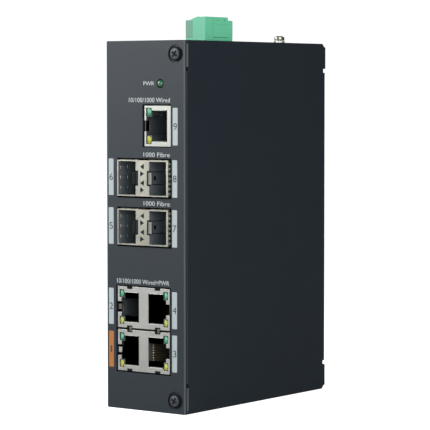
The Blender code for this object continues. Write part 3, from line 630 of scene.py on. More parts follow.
class Shape:
    """A mesh being built, in millimetres."""

    def __init__(self) -> None:
        """Starts with an empty mesh."""
        self.bm = bmesh.new()

    def box(self, x: Span, y: Span, z: Span) -> Shape:
        """Adds a box between pairs of coordinates.

        Args:
            x: Its left and right.
            y: Its front and rear.
            z: Its bottom and top.

        Returns:
            The shape itself.
        """
        sides = [(min(pair), max(pair)) for pair in (x, y, z)]
        middle = Vector([(low + high) / 2 for low, high in sides])
        size = [high - low for low, high in sides]
        bmesh.ops.create_cube(self.bm, size=1.0, matrix=Matrix.Translation(middle) @ Matrix.Diagonal((*size,
            1.0)))
        return self

    def rod(self, start: Sequence[float], end: Sequence[float], radius: float, tip: float | None = None,
            sides: int = 32) -> Shape:
        """Adds a cylinder, or a cone with another radius at its end.

        Args:
            start: Where its axis starts.
            end: Where its axis ends.
            radius: Its radius at the start.
            tip: Its radius at the end, or None for the same.
            sides: How many sides it has.

        Returns:
            The shape itself.
        """
        start, end = Vector(start), Vector(end)
        run = end - start
        turn = run.to_track_quat("Z", "Y").to_matrix().to_4x4()
        place = Matrix.Translation((start + end) / 2) @ turn
        bmesh.ops.create_cone(self.bm, cap_ends=True, segments=sides, radius1=radius,
            radius2=radius if tip is None else tip, depth=run.length, matrix=place)
        return self

    def prism(self, outline: Iterable[Span], span: Span, axis: str = "Y") -> Shape:
        """Adds a flat outline drawn out along an axis.

        Args:
            outline: Points on the plane across the axis, in the order of the other two axes.
            span: Where the prism starts and ends along the axis.
            axis: X, Y or Z.

        Returns:
            The shape itself.
        """
        order = {"X": (2, 0, 1), "Y": (0, 2, 1), "Z": (0, 1, 2)}[axis]
        rings = []
        for level in span:
            ring = [Vector([(u, v, level)[index] for index in order]) for u, v in outline]
            rings.append([self.bm.verts.new(point) for point in ring])
        near, far = rings
        faces = [self.bm.faces.new(near), self.bm.faces.new(far)]
        for index, corner in enumerate(near):
            after = (index + 1) % len(near)
            faces.append(self.bm.faces.new((corner, near[after], far[after], far[index])))
        bmesh.ops.recalc_face_normals(self.bm, faces=faces)
        return self

    def turned(self, profile: Sequence[Span], place: Matrix, steps: int = 40) -> Shape:
        """Adds a solid of revolution.

        Args:
            profile: Radius and height pairs, which start and end on the axis.
            place: Where the axis' origin goes and how it is turned.
            steps: Sides round the axis.

        Returns:
            The shape itself.
        """
        fresh = [self.bm.verts.new((radius, 0.0, height)) for radius, height in profile]
        edges = [self.bm.edges.new(pair) for pair in zip(fresh, fresh[1:])]
        spun = bmesh.ops.spin(self.bm, geom=fresh + edges, cent=(0, 0, 0), axis=(0, 0, 1), steps=steps,
            angle=2 * math.pi, use_duplicate=False)
        grown = {vert for vert in spun["geom_last"] if isinstance(vert, bmesh.types.BMVert)}
        touched = set(fresh) | grown
        queue = list(touched)
        while queue:
            for edge in queue.pop().link_edges:
                for vert in edge.verts:
                    if vert not in touched:
                        touched.add(vert)
                        queue.append(vert)
        bmesh.ops.remove_doubles(self.bm, verts=list(touched), dist=1e-4)
        alive = [vert for vert in touched if vert.is_valid]
        faces = list({face for vert in alive for face in vert.link_faces})
        bmesh.ops.recalc_face_normals(self.bm, faces=faces)
        bmesh.ops.transform(self.bm, matrix=place, verts=alive)
        return self

    def object(self, name: str, bevel: float = 0.0, segments: int = 2, angle: float = 35.0) -> Thing:
        """Finishes the shape as an object, in metres, with rounded edges.

        Args:
            name: The object's name.
            bevel: How wide its edges are rounded, in millimetres.
            segments: How many faces each rounded edge has.
            angle: The least angle between two faces, in degrees, that makes an edge.

        Returns:
            The object, at the origin.
        """
        mesh = bpy.data.meshes.new(name)
        self.bm.to_mesh(mesh)
        self.bm.free()
        mesh.transform(Matrix.Scale(MM, 4))
        return rounded(new_object(name, mesh), bevel, segments, angle)


def rounded(obj: Thing, width: float, segments: int = 2, angle: float = 35.0) -> Thing:
    """Rounds an object's edges and shades it, with the flat faces kept flat.

    Args:
        obj: The object.
        width: How wide the edges are rounded, in millimetres, or 0.
        segments: How many faces each rounded edge has.
        angle: The least angle between two faces, in degrees, that makes an edge.

    Returns:
        The object with a plain mesh.
    """
    if width:
        bevel = obj.modifiers.new("edges", "BEVEL")
        bevel.width = width * MM
        bevel.segments = segments
        bevel.limit_method = "ANGLE"
        bevel.angle_limit = math.radians(angle)
        obj = settled(obj)
    return levelled(obj, 60.0 if width else angle)


def levelled(obj: Thing, angle: float = 60.0) -> Thing:
    """Shades an object smooth with its large faces kept flat.

    Args:
        obj: The object.
        angle: The least angle between two faces, in degrees, that stays a sharp edge.

    Returns:
        The object with a plain mesh.
    """
    obj.data.shade_smooth()
    obj.data.set_sharp_from_angle(angle=math.radians(angle))
    weigh = obj.modifiers.new("level", "WEIGHTED_NORMAL")
    weigh.keep_sharp = True
    weigh.weight = 80
    return settled(obj)


def refined(node: str, name: str, width: float, segments: int = 2, cuts: Shape | None = None,
        angle: float = 35.0) -> Thing:
    """A copy of a CAD node with its triangles merged to whole faces and its edges rounded.

    Args:
        node: The CAD node's name.
        name: The new object's name.
        width: How wide the edges are rounded, in millimetres.
        segments: How many faces each rounded edge has.
        cuts: Grooves and recesses to take out of it first.
        angle: The least angle between two faces, in degrees, that makes an edge.

    Returns:
        The new object, at the origin.
    """
    mesh = bpy.data.meshes.new(name)
    bm = bmesh.new()
    bm.from_mesh(bpy.data.objects[node].data)
    bmesh.ops.remove_doubles(bm, verts=bm.verts, dist=MERGE)
    bm.to_mesh(mesh)
    bm.free()
    made = new_object(name, mesh)
    if cuts is not None:
        cutter = cuts.object(name + "_cuts")
        boolean = made.modifiers.new("grooves", "BOOLEAN")
        boolean.operation = "DIFFERENCE"
        boolean.solver = "EXACT"
        boolean.use_self = True
        boolean.object = cutter
        made = settled(made)
        bpy.data.objects.remove(cutter)
    with edited(made.data) as bm:
        bmesh.ops.remove_doubles(bm, verts=bm.verts, dist=MERGE)
        bmesh.ops.dissolve_limit(bm, angle_limit=FLAT, verts=bm.verts, edges=bm.edges)
    return rounded(made, width, segments, angle)


def joined(name: str, parts: Sequence[Thing]) -> Thing:
    """Joins objects' meshes in one new object, and removes them. Their materials are kept.

    Args:
        name: The new object's name.
        parts: The objects.

    Returns:
        The new object.
    """
    materials: list[bpy.types.Material] = []
    bm = bmesh.new()
    for part in parts:
        own = [slot.material for slot in part.material_slots] or [None]
        for material in own:
            if material not in materials:
                materials.append(material)
        start = len(bm.faces)
        bm.from_mesh(part.data)
        bm.faces.ensure_lookup_table()
        for face in bm.faces[start:]:
            face.material_index = materials.index(own[min(face.material_index, len(own) - 1)])
    mesh = bpy.data.meshes.new(name)
    bm.to_mesh(mesh)
    bm.free()
    for material in materials:
        mesh.materials.append(material)
    for part in parts:
        bpy.data.objects.remove(part)
    return levelled(new_object(name, mesh))


def lined(obj: Thing, outside: Finish, inside: Finish, test: Callable[[Vector], bool]) -> Thing:
    """Gives an object two finishes, the second on the faces whose middle passes a test.

    Args:
        obj: The object.
        outside: The finish of its other faces.
        inside: The finish of the faces that pass.
        test: Takes a face's middle, in millimetres.

    Returns:
        The object.
    """
    painted(obj, outside)
    obj.data.materials.append(inside.material())
    for face in obj.data.polygons:
        face.material_index = int(test(face.center / MM))
    return obj


def painted(obj: Thing, finish: Finish) -> Thing:
    """Gives an object one finish all over.

    Args:
        obj: The object.
        finish: The finish.

    Returns:
        The object.
    """
    obj.data.materials.clear()
    obj.data.materials.append(finish.material())
    return obj


def lettering(words: str, centre: Triple, size: Span, name: str, weight: float = 0.0) -> Thing:
    """Words as a thin mesh on a face that looks to the front.

    Args:
        words: The text.
        centre: Its middle, in millimetres.
        size: Its width and height, in millimetres.
        name: The object's name.
        weight: How much bolder its strokes are than the font's.

    Returns:
        The text as a mesh object, at the origin.
    """
    curve = bpy.data.curves.new(name, "FONT")
    curve.body = words
    curve.resolution_u = 3
    curve.extrude = 0.01
    curve.offset = weight
    text = bpy.data.objects.new(name, curve)
    bpy.context.scene.collection.objects.link(text)
    made = settled(text)
    corners = [Vector(corner) for corner in made.bound_box]
    low = Vector([min(corner[axis] for corner in corners) for axis in range(3)])
    high = Vector([max(corner[axis] for corner in corners) for axis in range(3)])
    middle, extent = (low + high) / 2, high - low
    scale = Matrix.Diagonal((size[0] / extent.x, size[1] / extent.y, HAIR / extent.z, 1.0))
    stand = Matrix.Rotation(math.pi / 2, 4, "X")
    place = Matrix.Scale(MM, 4) @ Matrix.Translation(centre) @ stand @ scale @ Matrix.Translation(-middle)
    made.data.transform(place)
    with edited(made.data) as bm:
        bmesh.ops.remove_doubles(bm, verts=bm.verts, dist=MERGE / 2)
    return made


# --- Geometry trees ---


def finish_tree(graph: Graph, given: Any, result: Any, copy: Any, smooth: float,
        turn: Any = None) -> NodeTree:
    """Ends a tree: a copy on each point, made real, shaded and given its material.

    Args:
        graph: The tree's graph.
        given: Its inputs' sockets.
        result: Its outputs' sockets.
        copy: The geometry that goes on each point.
        smooth: Edges flatter than this angle, in radians, are shaded smooth.
        turn: How each copy is turned, or None.

    Returns:
        The tree.
    """
    inputs = {"Points": given["Geometry"], "Instance": copy}
    if turn is not None:
        inputs["Rotation"] = turn
    geometry = graph.geo("InstanceOnPoints", inputs).outputs[0]
    real = graph.geo("RealizeInstances", {"Geometry": geometry})
    faces = graph.geo("SetShadeSmooth", {"Geometry": real.outputs[0]}, domain="FACE")
    corner = graph.geo("InputMeshEdgeAngle").outputs["Unsigned Angle"]
    sharp = graph.add("FunctionNodeCompare", {0: corner, 1: smooth}, operation="GREATER_THAN")
    edges = graph.geo("SetShadeSmooth", {"Geometry": faces.outputs[0], "Selection": sharp.outputs[0]},
        domain="EDGE")
    edges.inputs["Shade Smooth"].default_value = False
    dressed = graph.geo("SetMaterial", {"Geometry": edges.outputs[0], "Material": given["Finish"]})
    graph.feed(result["Geometry"], dressed.outputs[0])
    return graph.tree


def moved(graph: Graph, geometry: Any, offset: Any = None, turn: Any = None, scale: Any = None) -> Any:
    """A geometry moved, turned and scaled.

    Args:
        graph: The tree's graph.
        geometry: The geometry's socket.
        offset: How far it moves.
        turn: How it turns.
        scale: How it is scaled.

    Returns:
        The new geometry's socket.
    """
    inputs = {"Geometry": geometry}
    for key, value in (("Translation", offset), ("Rotation", turn), ("Scale", scale)):
        if value is not None:
            inputs[key] = value
    return graph.geo("Transform", inputs).outputs[0]


def mesh_boolean(graph: Graph, operation: str, first: Any, others: Sequence[Any]) -> Any:
    """A mesh boolean of one mesh with others.

    Args:
        graph: The tree's graph.
        operation: DIFFERENCE, UNION or INTERSECT.
        first: The first mesh.
        others: The others.

    Returns:
        The result's socket.
    """
    node = graph.geo("MeshBoolean", operation=operation, solver="EXACT")
    if operation == "DIFFERENCE":
        graph.feed(node.inputs[0], first)
        for other in others:
            graph.feed(node.inputs[1], other)
    else:
        for other in (first, *others):
            graph.feed(node.inputs[1], other)
    return node.outputs[0]


@functools.cache
def screw_tree() -> NodeTree:
    """Pan head screws with a cross recess, one on each point, facing along the point's facing.

    Returns:
        The tree.
    """
    sizes = {"Head radius": (FLOAT, 3.0 * MM), "Head height": (FLOAT, 1.9 * MM),
        "Shank radius": (FLOAT, 1.2 * MM), "Shank length": (FLOAT, 6.0 * MM),
        "Slot width": (FLOAT, 1.0 * MM), "Dome": (FLOAT, 0.45 * MM), "Seed": (INTEGER, 3)}
    graph, given, result = new_repeat("pan_head_screws", sizes)
    radius, height = given["Head radius"], given["Head height"]
    rise = given["Dome"]
    ball = graph.math("DIVIDE", graph.math("ADD", graph.times(radius, radius), graph.times(rise, rise)),
        graph.times(rise, 2.0))
    drum = graph.geo("MeshCylinder", {"Vertices": 44, "Radius": radius, "Depth": height})
    drum = moved(graph, drum.outputs[0], graph.vector(z=graph.times(height, 0.5)))
    sphere = graph.geo("MeshUVSphere", {"Segments": 44, "Rings": 40, "Radius": ball})
    below = graph.math("SUBTRACT", height, ball)
    sphere = moved(graph, sphere.outputs[0], graph.vector(z=below))
    head = mesh_boolean(graph, "INTERSECT", drum, [sphere])
    reach = graph.times(radius, 0.78 * math.sqrt(2))
    foot = graph.times(reach, 0.35)
    share = graph.math("DIVIDE", given["Slot width"], graph.times(radius, 2 * 0.78))
    wings = []
    for turn in (0.0, math.pi / 2):
        wedge = graph.geo("MeshCone", {"Vertices": 4, "Radius Top": reach, "Radius Bottom": foot,
            "Depth": height})
        square = moved(graph, wedge.outputs[0], turn=(0.0, 0.0, math.pi / 4))
        thin = moved(graph, square, scale=graph.vector(share, 1.0, 1.0))
        lift = graph.vector(z=graph.times(height, 0.22))
        wings.append(moved(graph, thin, lift, (0.0, 0.0, turn)))
    recessed = mesh_boolean(graph, "DIFFERENCE", head, wings)
    length = given["Shank length"]
    shank = graph.geo("MeshCylinder", {"Vertices": 28, "Radius": given["Shank radius"],
        "Depth": length})
    sunk = graph.vector(z=graph.math("SUBTRACT", graph.times(height, 0.1), graph.times(length, 0.5)))
    whole = mesh_boolean(graph, "UNION", recessed, [moved(graph, shank.outputs[0], sunk)])
    facing = graph.geo("InputNamedAttribute", {"Name": "facing"}, data_type="FLOAT_VECTOR")
    aimed = graph.add("FunctionNodeAlignRotationToVector", {"Vector": facing.outputs[0]}, axis="Z")
    spin = graph.add("FunctionNodeRandomValue", {"Seed": given["Seed"]}, data_type="FLOAT")
    angle = graph.math("ADD", graph.times(spin.outputs[1], 0.3), math.pi / 4)
    twist = graph.add("FunctionNodeEulerToRotation", {0: graph.vector(z=angle)})
    turned = graph.add("FunctionNodeRotateRotation", {0: aimed.outputs[0], 1: twist.outputs[0]},
        rotation_space="LOCAL")
    return finish_tree(graph, given, result, whole, 0.6, turned.outputs[0])


@functools.cache
def spring_tree() -> NodeTree:
    """Rows of bent strips or wires: one row from each point, turned as the point's turn says.

    Returns:
        The tree.
    """
    sizes = {"Count": (INTEGER, 8), "Step": (VECTOR, (0.0, 0.0, MM)), "Run": (VECTOR, (0.0, MM, 0.0)),
        "Lift": (VECTOR, (MM, 0.0, 0.0)), "Width": (FLOAT, 0.4 * MM), "Thickness": (FLOAT, 0.2 * MM)}
    graph, given, result = new_repeat("sprung_rows", sizes)
    run, lift = given["Run"], given["Lift"]
    third = graph.add("ShaderNodeVectorMath", {0: run, "Scale": 1 / 3}, operation="SCALE").outputs[0]
    early = graph.add("ShaderNodeVectorMath", {0: third, 1: lift}, operation="ADD").outputs[0]
    late = graph.add("ShaderNodeVectorMath", {0: early, 1: third}, operation="ADD").outputs[0]
    bend = graph.geo("CurvePrimitiveBezierSegment", {"Resolution": 12, "Start": (0.0, 0.0, 0.0),
        "Start Handle": early, "End Handle": late, "End": run}, mode="POSITION")
    outline = graph.geo("CurvePrimitiveQuadrilateral", {"Width": given["Thickness"],
        "Height": given["Width"]})
    cut = graph.geo("FilletCurve", {"Curve": outline.outputs[0], "Count": 2}, mode="POLY")
    graph.feed(cut.inputs["Radius"], graph.times(given["Thickness"], 0.3))
    upright = graph.geo("SetCurveNormal", {"Curve": bend.outputs[0]}, mode="Z_UP")
    strip = graph.geo("CurveToMesh", {"Curve": upright.outputs[0], "Profile Curve": cut.outputs[0],
        "Fill Caps": True})
    count = given["Count"]
    row = graph.geo("MeshLine", {"Count": count, "Offset": given["Step"]}, mode="OFFSET")
    many = graph.geo("InstanceOnPoints", {"Points": row.outputs[0], "Instance": strip.outputs[0]})
    turn = graph.geo("InputNamedAttribute", {"Name": "turn"}, data_type="FLOAT_VECTOR")
    turned = graph.add("FunctionNodeEulerToRotation", {0: turn.outputs[0]})
    return finish_tree(graph, given, result, many.outputs[0], 0.9, turned.outputs[0])


@functools.cache
def coil_tree() -> NodeTree:
    """A compression spring that stands on each point, with closed ends.

    Returns:
        The tree.
    """
    sizes = {"Radius": (FLOAT, 1.7 * MM), "Height": (FLOAT, 10.0 * MM), "Turns": (FLOAT, 6.0),
        "Wire radius": (FLOAT, 0.3 * MM)}
    graph, given, result = new_repeat("compression_spring", sizes)
    radius, height = given["Radius"], given["Height"]
    wire = given["Wire radius"]
    coils = []
    for turns, rise, start in ((given["Turns"], height, 0.0), (1.0, graph.times(wire, 1.2), 0.0),
            (1.0, graph.times(wire, 1.2), height)):
        spiral = graph.geo("CurveSpiral", {"Resolution": 28, "Rotations": turns, "Start Radius": radius,
            "End Radius": radius, "Height": rise})
        below = 0.0 if start == 0.0 else graph.math("SUBTRACT", start, rise)
        coils.append(moved(graph, spiral.outputs[0], graph.vector(z=below)))
    section = graph.geo("CurvePrimitiveCircle", {"Resolution": 10, "Radius": wire})
    tubes = graph.geo("JoinGeometry")
    for coil in coils:
        tube = graph.geo("CurveToMesh", {"Curve": coil, "Profile Curve": section.outputs[0],
            "Fill Caps": True})
        graph.feed(tubes.inputs[0], tube.outputs[0])
    return finish_tree(graph, given, result, tubes.outputs[0], 1.2)


@functools.cache
def washer_tree() -> NodeTree:
    """A washer with teeth round its rim, flat on each point.

    Returns:
        The tree.
    """
    sizes = {"Outer radius": (FLOAT, 2.4 * MM), "Bore radius": (FLOAT, 1.5 * MM),
        "Thickness": (FLOAT, 0.5 * MM), "Teeth": (INTEGER, 12), "Twist": (FLOAT, 0.35)}
    graph, given, result = new_repeat("toothed_washer", sizes)
    outer, bore = given["Outer radius"], given["Bore radius"]
    thick = given["Thickness"]
    ring_radius = graph.times(outer, 0.86)
    disc = graph.geo("MeshCylinder", {"Vertices": 48, "Radius": ring_radius, "Depth": thick})
    hole = graph.geo("MeshCylinder", {"Vertices": 32, "Radius": bore, "Depth": graph.times(thick, 3.0)})
    ring = mesh_boolean(graph, "DIFFERENCE", disc.outputs[0], [hole.outputs[0]])
    rim = graph.geo("MeshCircle", {"Vertices": given["Teeth"], "Radius": graph.times(outer, 0.88)})
    size = graph.times(outer, 0.26)
    tooth = graph.geo("MeshCube", {"Size": graph.vector(size, size, thick)})
    out = graph.geo("InputPosition")
    aimed = graph.add("FunctionNodeAlignRotationToVector", {"Vector": out.outputs[0]}, axis="X")
    tilt = graph.add("FunctionNodeEulerToRotation", {0: graph.vector(x=given["Twist"])})
    twisted = graph.add("FunctionNodeRotateRotation", {0: aimed.outputs[0], 1: tilt.outputs[0]},
        rotation_space="LOCAL")
    teeth = graph.geo("InstanceOnPoints", {"Points": rim.outputs[0], "Instance": tooth.outputs[0],
        "Rotation": twisted.outputs[0]})
    whole = graph.geo("JoinGeometry")
    for geometry in (ring, teeth.outputs[0]):
        graph.feed(whole.inputs[0], geometry)
    return finish_tree(graph, given, result, whole.outputs[0], 0.6)


@functools.cache
def small_part_tree() -> NodeTree:
    """Small board parts on a grid of points, with random sizes and some places left bare.

    Returns:
        The tree.
    """
    sizes = {"Columns": (INTEGER, 9), "Rows": (INTEGER, 18),
        "Spread": (VECTOR, (0.0, 60 * MM, 90 * MM)), "Part size": (FLOAT, 1.4 * MM),
        "Seed": (INTEGER, 11)}
    graph, given, result = new_repeat("board_parts", sizes)
    reach = graph.add("ShaderNodeSeparateXYZ", {0: given["Spread"]})
    grid = graph.geo("MeshGrid", {"Size X": reach.outputs[2], "Size Y": reach.outputs[1],
        "Vertices X": given["Rows"], "Vertices Y": given["Columns"]})
    upright = moved(graph, grid.outputs[0], turn=(0.0, math.pi / 2, 0.0))
    keep = graph.add("FunctionNodeRandomValue", {"Seed": given["Seed"]}, data_type="BOOLEAN")
    keep.inputs["Probability"].default_value = 0.55
    size = given["Part size"]
    chip = graph.geo("MeshCube", {"Size": graph.vector(graph.times(size, 0.4), graph.times(size, 0.6),
        size)})
    scale = graph.add("FunctionNodeRandomValue", {"Seed": given["Seed"]}, data_type="FLOAT_VECTOR")
    scale.inputs[0].default_value = (0.6, 0.7, 0.7)
    scale.inputs[1].default_value = (1.3, 1.8, 1.6)
    parts = graph.geo("InstanceOnPoints", {"Points": upright, "Selection": keep.outputs[3],
        "Instance": chip.outputs[0], "Scale": scale.outputs[0]})
    return finish_tree(graph, given, result, parts.outputs[0], 0.6)


STRAIGHT = {"turn": [(0.0, 0.0, 0.0)]}


def repeated(name: str, tree: NodeTree, points: Sequence[Triple], finish: Finish,
        directions: dict[str, Sequence[Triple]] | None = None, **sizes: Any) -> Thing:
    """Runs a geometry tree from points and keeps its result as a plain mesh.

    Args:
        name: The piece's name.
        tree: The tree.
        points: Where the tree's copies go, in millimetres.
        finish: Their finish.
        directions: A vector for each point, by attribute name.
        **sizes: The tree's inputs, with underscores for spaces. Floats and vectors are in millimetres.

    Returns:
        The result as an object, at the origin.
    """
    mesh = bpy.data.meshes.new(name)
    mesh.from_pydata([Vector(point) * MM for point in points], [], [])
    for label, values in (directions or {}).items():
        attribute = mesh.attributes.new(label, "FLOAT_VECTOR", "POINT")
        attribute.data.foreach_set("vector", [part for value in values for part in value])
    holder = new_object(name, mesh)
    modifier = holder.modifiers.new("repeats", "NODES")
    modifier.node_group = tree
    sockets = {item.name: item for item in tree.interface.items_tree if item.in_out == "INPUT"}
    for key, value in sizes.items():
        socket = sockets[key.replace("_", " ").capitalize()]
        if socket.socket_type == VECTOR:
            modifier[socket.identifier] = [part * MM for part in value]
        else:
            unscaled = socket.socket_type == INTEGER or socket.name in ("Turns", "Twist")
            modifier[socket.identifier] = value if unscaled else value * MM
    modifier[sockets["Finish"].identifier] = finish.material()
    made = settled(holder)
    for attribute in [item.name for item in made.data.attributes if item.name in ("facing", "turn")]:
        made.data.attributes.remove(made.data.attributes[attribute])
    return made


# --- Placing pieces ---


@dataclass(frozen=True)
class Room:
    """A CAD node's box, in millimetres."""

    x: Span
    y: Span
    z: Span

    @staticmethod
    def of(node: str) -> Room:
        """The box of a node at rest."""
        low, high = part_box(node)
        return Room(*((low[axis] / MM, high[axis] / MM) for axis in range(3)))

    @property
    def centre(self) -> Triple:
        """The box's middle."""
        return tuple(sum(span) / 2 for span in (self.x, self.y, self.z))


def around(centre: float, half: float) -> Span:
    """The pair of coordinates on both sides of a centre."""
    return centre - half, centre + half


def fitted(obj: Thing, finish: Finish | None, body: str, *nodes: str, slot: Finish | None = None) -> Thing:
    """Gives a finished piece its material and its place in the frame.

    Args:
        obj: The piece.
        finish: Its finish, or None where its mesh already has materials.
        body: The body that it rides on.
        *nodes: The CAD nodes that it stands for.
        slot: Not used.

    Returns:
        The piece.
    """
    if finish is not None:
        painted(obj, finish)
    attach(obj, body)
    if nodes:
        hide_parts(*nodes)
    log.info("%s: %d faces on %s", obj.name, len(obj.data.polygons), body)
    return obj


def carried(node: str, name: str, width: float, finish: Finish, body: str = "switch") -> Thing:
    """A CAD node's own shape in its place, with rounded edges and a finish."""
    return fitted(refined(node, name, width), finish, body, node)


def rounded_outline(x: Span, z: Span, radius: float, steps: int = 5) -> list[Span]:
    """The outline of a rectangle with round corners, anticlockwise from its lower left corner.

    Args:
        x: Its left and right.
        z: Its bottom and top.
        radius: The corners' radius.
        steps: Points on each corner, less one.

    Returns:
        The outline's points.
    """
    points = []
    corners = ((x[0], z[0], 1, 1, 180), (x[1], z[0], -1, 1, 270), (x[1], z[1], -1, -1, 0),
        (x[0], z[1], 1, -1, 90))
    for left, low, inward, up, start in corners:
        for step in range(steps + 1):
            turn = math.radians(start + 90 * step / steps)
            points.append((left + inward * radius + radius * math.cos(turn),
                low + up * radius + radius * math.sin(turn)))
    return points


def bent_strip(path: Sequence[Span], thickness: float) -> list[Span]:
    """The outline of a strip of sheet that follows a path on a plane.

    Args:
        path: The strip's middle line.
        thickness: The sheet's thickness.

    Returns:
        The closed outline's points.
    """
    left, right = [], []
    for index, point in enumerate(path):
        before, after = path[max(index - 1, 0)], path[min(index + 1, len(path) - 1)]
        along = Vector((after[0] - before[0], after[1] - before[1])).normalized()
        side = Vector((-along.y, along.x)) * thickness / 2
        left.append((point[0] + side.x, point[1] + side.y))
        right.append((point[0] - side.x, point[1] - side.y))
    return left + right[::-1]


# --- Sub-assemblies ---


@dataclass
class Case:
    """The folded tray, the cover that closes its right side, and the cover's screws."""

    fold: float = 0.16
    edge: float = 0.5  # how far the front panel's right edge is cut off, a band painted lighter as a painted highlight
    head_radius: float = 2.5
    head_height: float = 1.15
    seat_radius: float = 2.95
    shank_length: float = 6.0
    tab_bands: tuple[Span, ...] = ((1.5, 10.6), (139.2, 148.5))
    bend: Span = (0.75, 0.95)  # how far the cover's front bend reaches back from its side and its front; painted lighter as a painted highlight

    def build(self) -> None:
        """Builds the case."""
        tray = Room.of("chassis_tray")
        edge = Shape().prism([(tray.x[1] - self.edge, tray.y[0] - 0.01), (tray.x[1] + 1, tray.y[0] - 1),
            (tray.x[1] + 1, tray.y[0] + 1.5), (tray.x[1], tray.y[0] + self.edge)],
            (tray.z[0] - 1, tray.z[1] + 1), "Z")
        # The front panel's right edge is painted lighter: a painted highlight.
        shell = lined(refined("chassis_tray", "case_tray", self.fold, cuts=edge), PAINT, EDGE_HIGHLIGHT_PAINT,
            lambda spot: spot.x > tray.x[1] - self.edge and spot.y < tray.y[0] + self.edge)
        fitted(shell, None, "switch", "chassis_tray", slot=PAINT)
        cover = Room.of("side_cover")
        right, front = cover.x[1], cover.y[0]
        bends = Shape()
        for band in self.tab_bands:
            corner = [(right - self.bend[0], front - 0.01), (right + 1, front - 1),
                (right + 1, front + self.bend[1] + 1.2), (right, front + self.bend[1])]
            bends.prism(corner, band, "Z")
        # The cover's front bend is painted lighter: a painted highlight.
        lid = lined(refined("side_cover", "case_cover", self.fold, cuts=bends), PAINT, EDGE_HIGHLIGHT_PAINT,
            lambda spot: spot.x > right - self.bend[0] and spot.y < front + self.bend[1])
        fitted(lid, None, "switch", "side_cover", slot=PAINT)
        nodes = [f"cover_screw_{end}_{level}" for end in ("front", "rear") for level in ("top", "bottom")]
        seats, facings = [], []
        for node in nodes:
            room = Room.of(node)
            faces_front = room.y[0] < 0
            seat = room.y[1] - self.shank_length if faces_front else room.y[0] + self.shank_length
            seats.append((room.centre[0], seat, room.centre[2]))
            facings.append((0.0, -1.0 if faces_front else 1.0, 0.0))
        screws = repeated("cover_screws", screw_tree(), seats, BLACK_OXIDE, {"facing": facings},
            head_radius=self.head_radius, head_height=self.head_height, shank_length=self.shank_length,
            seed=5)
        # The screws' recesses and the sides round their heads are painted black as shade.
        screws = lined(levelled(screws, 30), BLACK_OXIDE, PAINTED_SHADE_BLACK,
            functools.partial(self.in_recess, list(zip(seats, facings))))
        fitted(screws, None, "switch", *nodes, slot=BLACK_OXIDE)
        # Flat black rings round each screw head: painted shade.
        rings = Shape()
        radius = self.seat_radius
        profile = [(0.0, 0.0), (radius, 0.0), (radius, 0.3), (radius - 0.12, 0.42), (0.0, 0.42)]
        for seat, facing in zip(seats, facings):
            rings.turned(profile, Matrix.Translation(seat) @ Matrix.Rotation(-facing[1] * math.pi / 2, 4,
                "X"))
        fitted(rings.object("screw_shade_rings"), PAINTED_SHADE_BLACK, "switch")

    def in_recess(self, heads: Sequence[tuple[Triple, Triple]], spot: Vector) -> bool:
        """Whether a spot is on the wall or the floor of a screw's recess, or round its head, where the
        screw is painted black as shade.

        Args:
            heads: Each screw's seat and facing.
            spot: The spot, in millimetres.

        Returns:
            True where it is.
        """
        for seat, facing in heads:
            height = (spot.y - seat[1]) * facing[1]
            reach = math.hypot(spot.x - seat[0], spot.z - seat[2])
            if 0.05 < height < self.head_height - 0.3 and reach < self.head_radius + 0.1:
                return True
        return False


@dataclass(frozen=True)
class NumberStrip:
    """A printed strip beside a port, with the port's number on it."""

    number: int
    x: Span
    z: Span
    finish: Finish = STRIP_INK


@dataclass(frozen=True)
class Legend:
    """Printed words, with the place and size of their outline."""

    words: str
    x: Span
    z: Span


@dataclass
class Legends:
    """The print on the front panel: words over the ports, and numbered strips beside them."""

    face: float = -50.0
    corner: float = 0.35
    digit_height: float = 2.75
    strips: tuple[NumberStrip, ...] = (
        NumberStrip(9, (14.25, 16.75), (108.0, 123.0)),
        NumberStrip(8, (14.0, 16.5), (87.1, 102.1)),
        NumberStrip(7, (13.85, 16.4), (67.1, 82.1)),
        NumberStrip(4, (13.8, 16.3), (34.3, 49.2)),
        NumberStrip(3, (13.8, 16.3), (16.8, 31.7)),
        NumberStrip(6, (-18.85, -16.3), (87.3, 102.2)),
        NumberStrip(5, (-18.9, -16.35), (67.3, 82.3)),
        NumberStrip(2, (-18.95, -16.4), (34.4, 49.3)),
        NumberStrip(1, (-18.95, -16.4), (16.8, 31.6), ORANGE_INK),
    )
    legends: tuple[Legend, ...] = (
        Legend("PWR", (-0.6, 4.9), (131.95, 133.5)),
        Legend("10/100/1000 Wired", (-8.15, 12.85), (125.15, 127.0)),
        Legend("1000 Fibre", (-0.65, 12.75), (103.2, 105.0)),
        Legend("1000 Fibre", (-0.65, 12.75), (83.5, 85.3)),
        Legend("10/100/1000 Wired+PWR", (-14.55, 12.35), (51.55, 53.4)),
    )

    def build(self) -> None:
        """Builds the print."""
        for finish, name in ((STRIP_INK, "number_strips"), (ORANGE_INK, "number_strip_orange")):
            shape = Shape()
            for strip in self.strips:
                if strip.finish is finish:
                    outline = rounded_outline(strip.x, strip.z, self.corner)
                    shape.prism(outline, (self.face - HAIR, self.face + 0.01))
            fitted(shape.object(name), finish, "switch")
        digits = []
        for strip in self.strips:
            middle = (sum(strip.x) / 2, self.face - 1.5 * HAIR, sum(strip.z) / 2)
            width = self.digit_height * (0.32 if strip.number == 1 else 0.68)
            digits.append(lettering(str(strip.number), middle, (width, self.digit_height),
                f"digit_{strip.number}", 0.0))
        fitted(joined("port_numbers", digits), DARK_INK, "switch")
        words = []
        for index, legend in enumerate(self.legends):
            middle = (sum(legend.x) / 2, self.face - 0.4 * HAIR, sum(legend.z) / 2)
            size = (legend.x[1] - legend.x[0], legend.z[1] - legend.z[0])
            words.append(lettering(legend.words, middle, size, f"words_{index}", -0.004))
        fitted(joined("panel_legends", words), WHITE_INK, "switch")


@dataclass(frozen=True)
class Socket:
    """One copper port: where it is in its block, and which side its latch is on."""

    number: str
    inner: float  # X of the edge away from the latch
    latch: int
    height: float


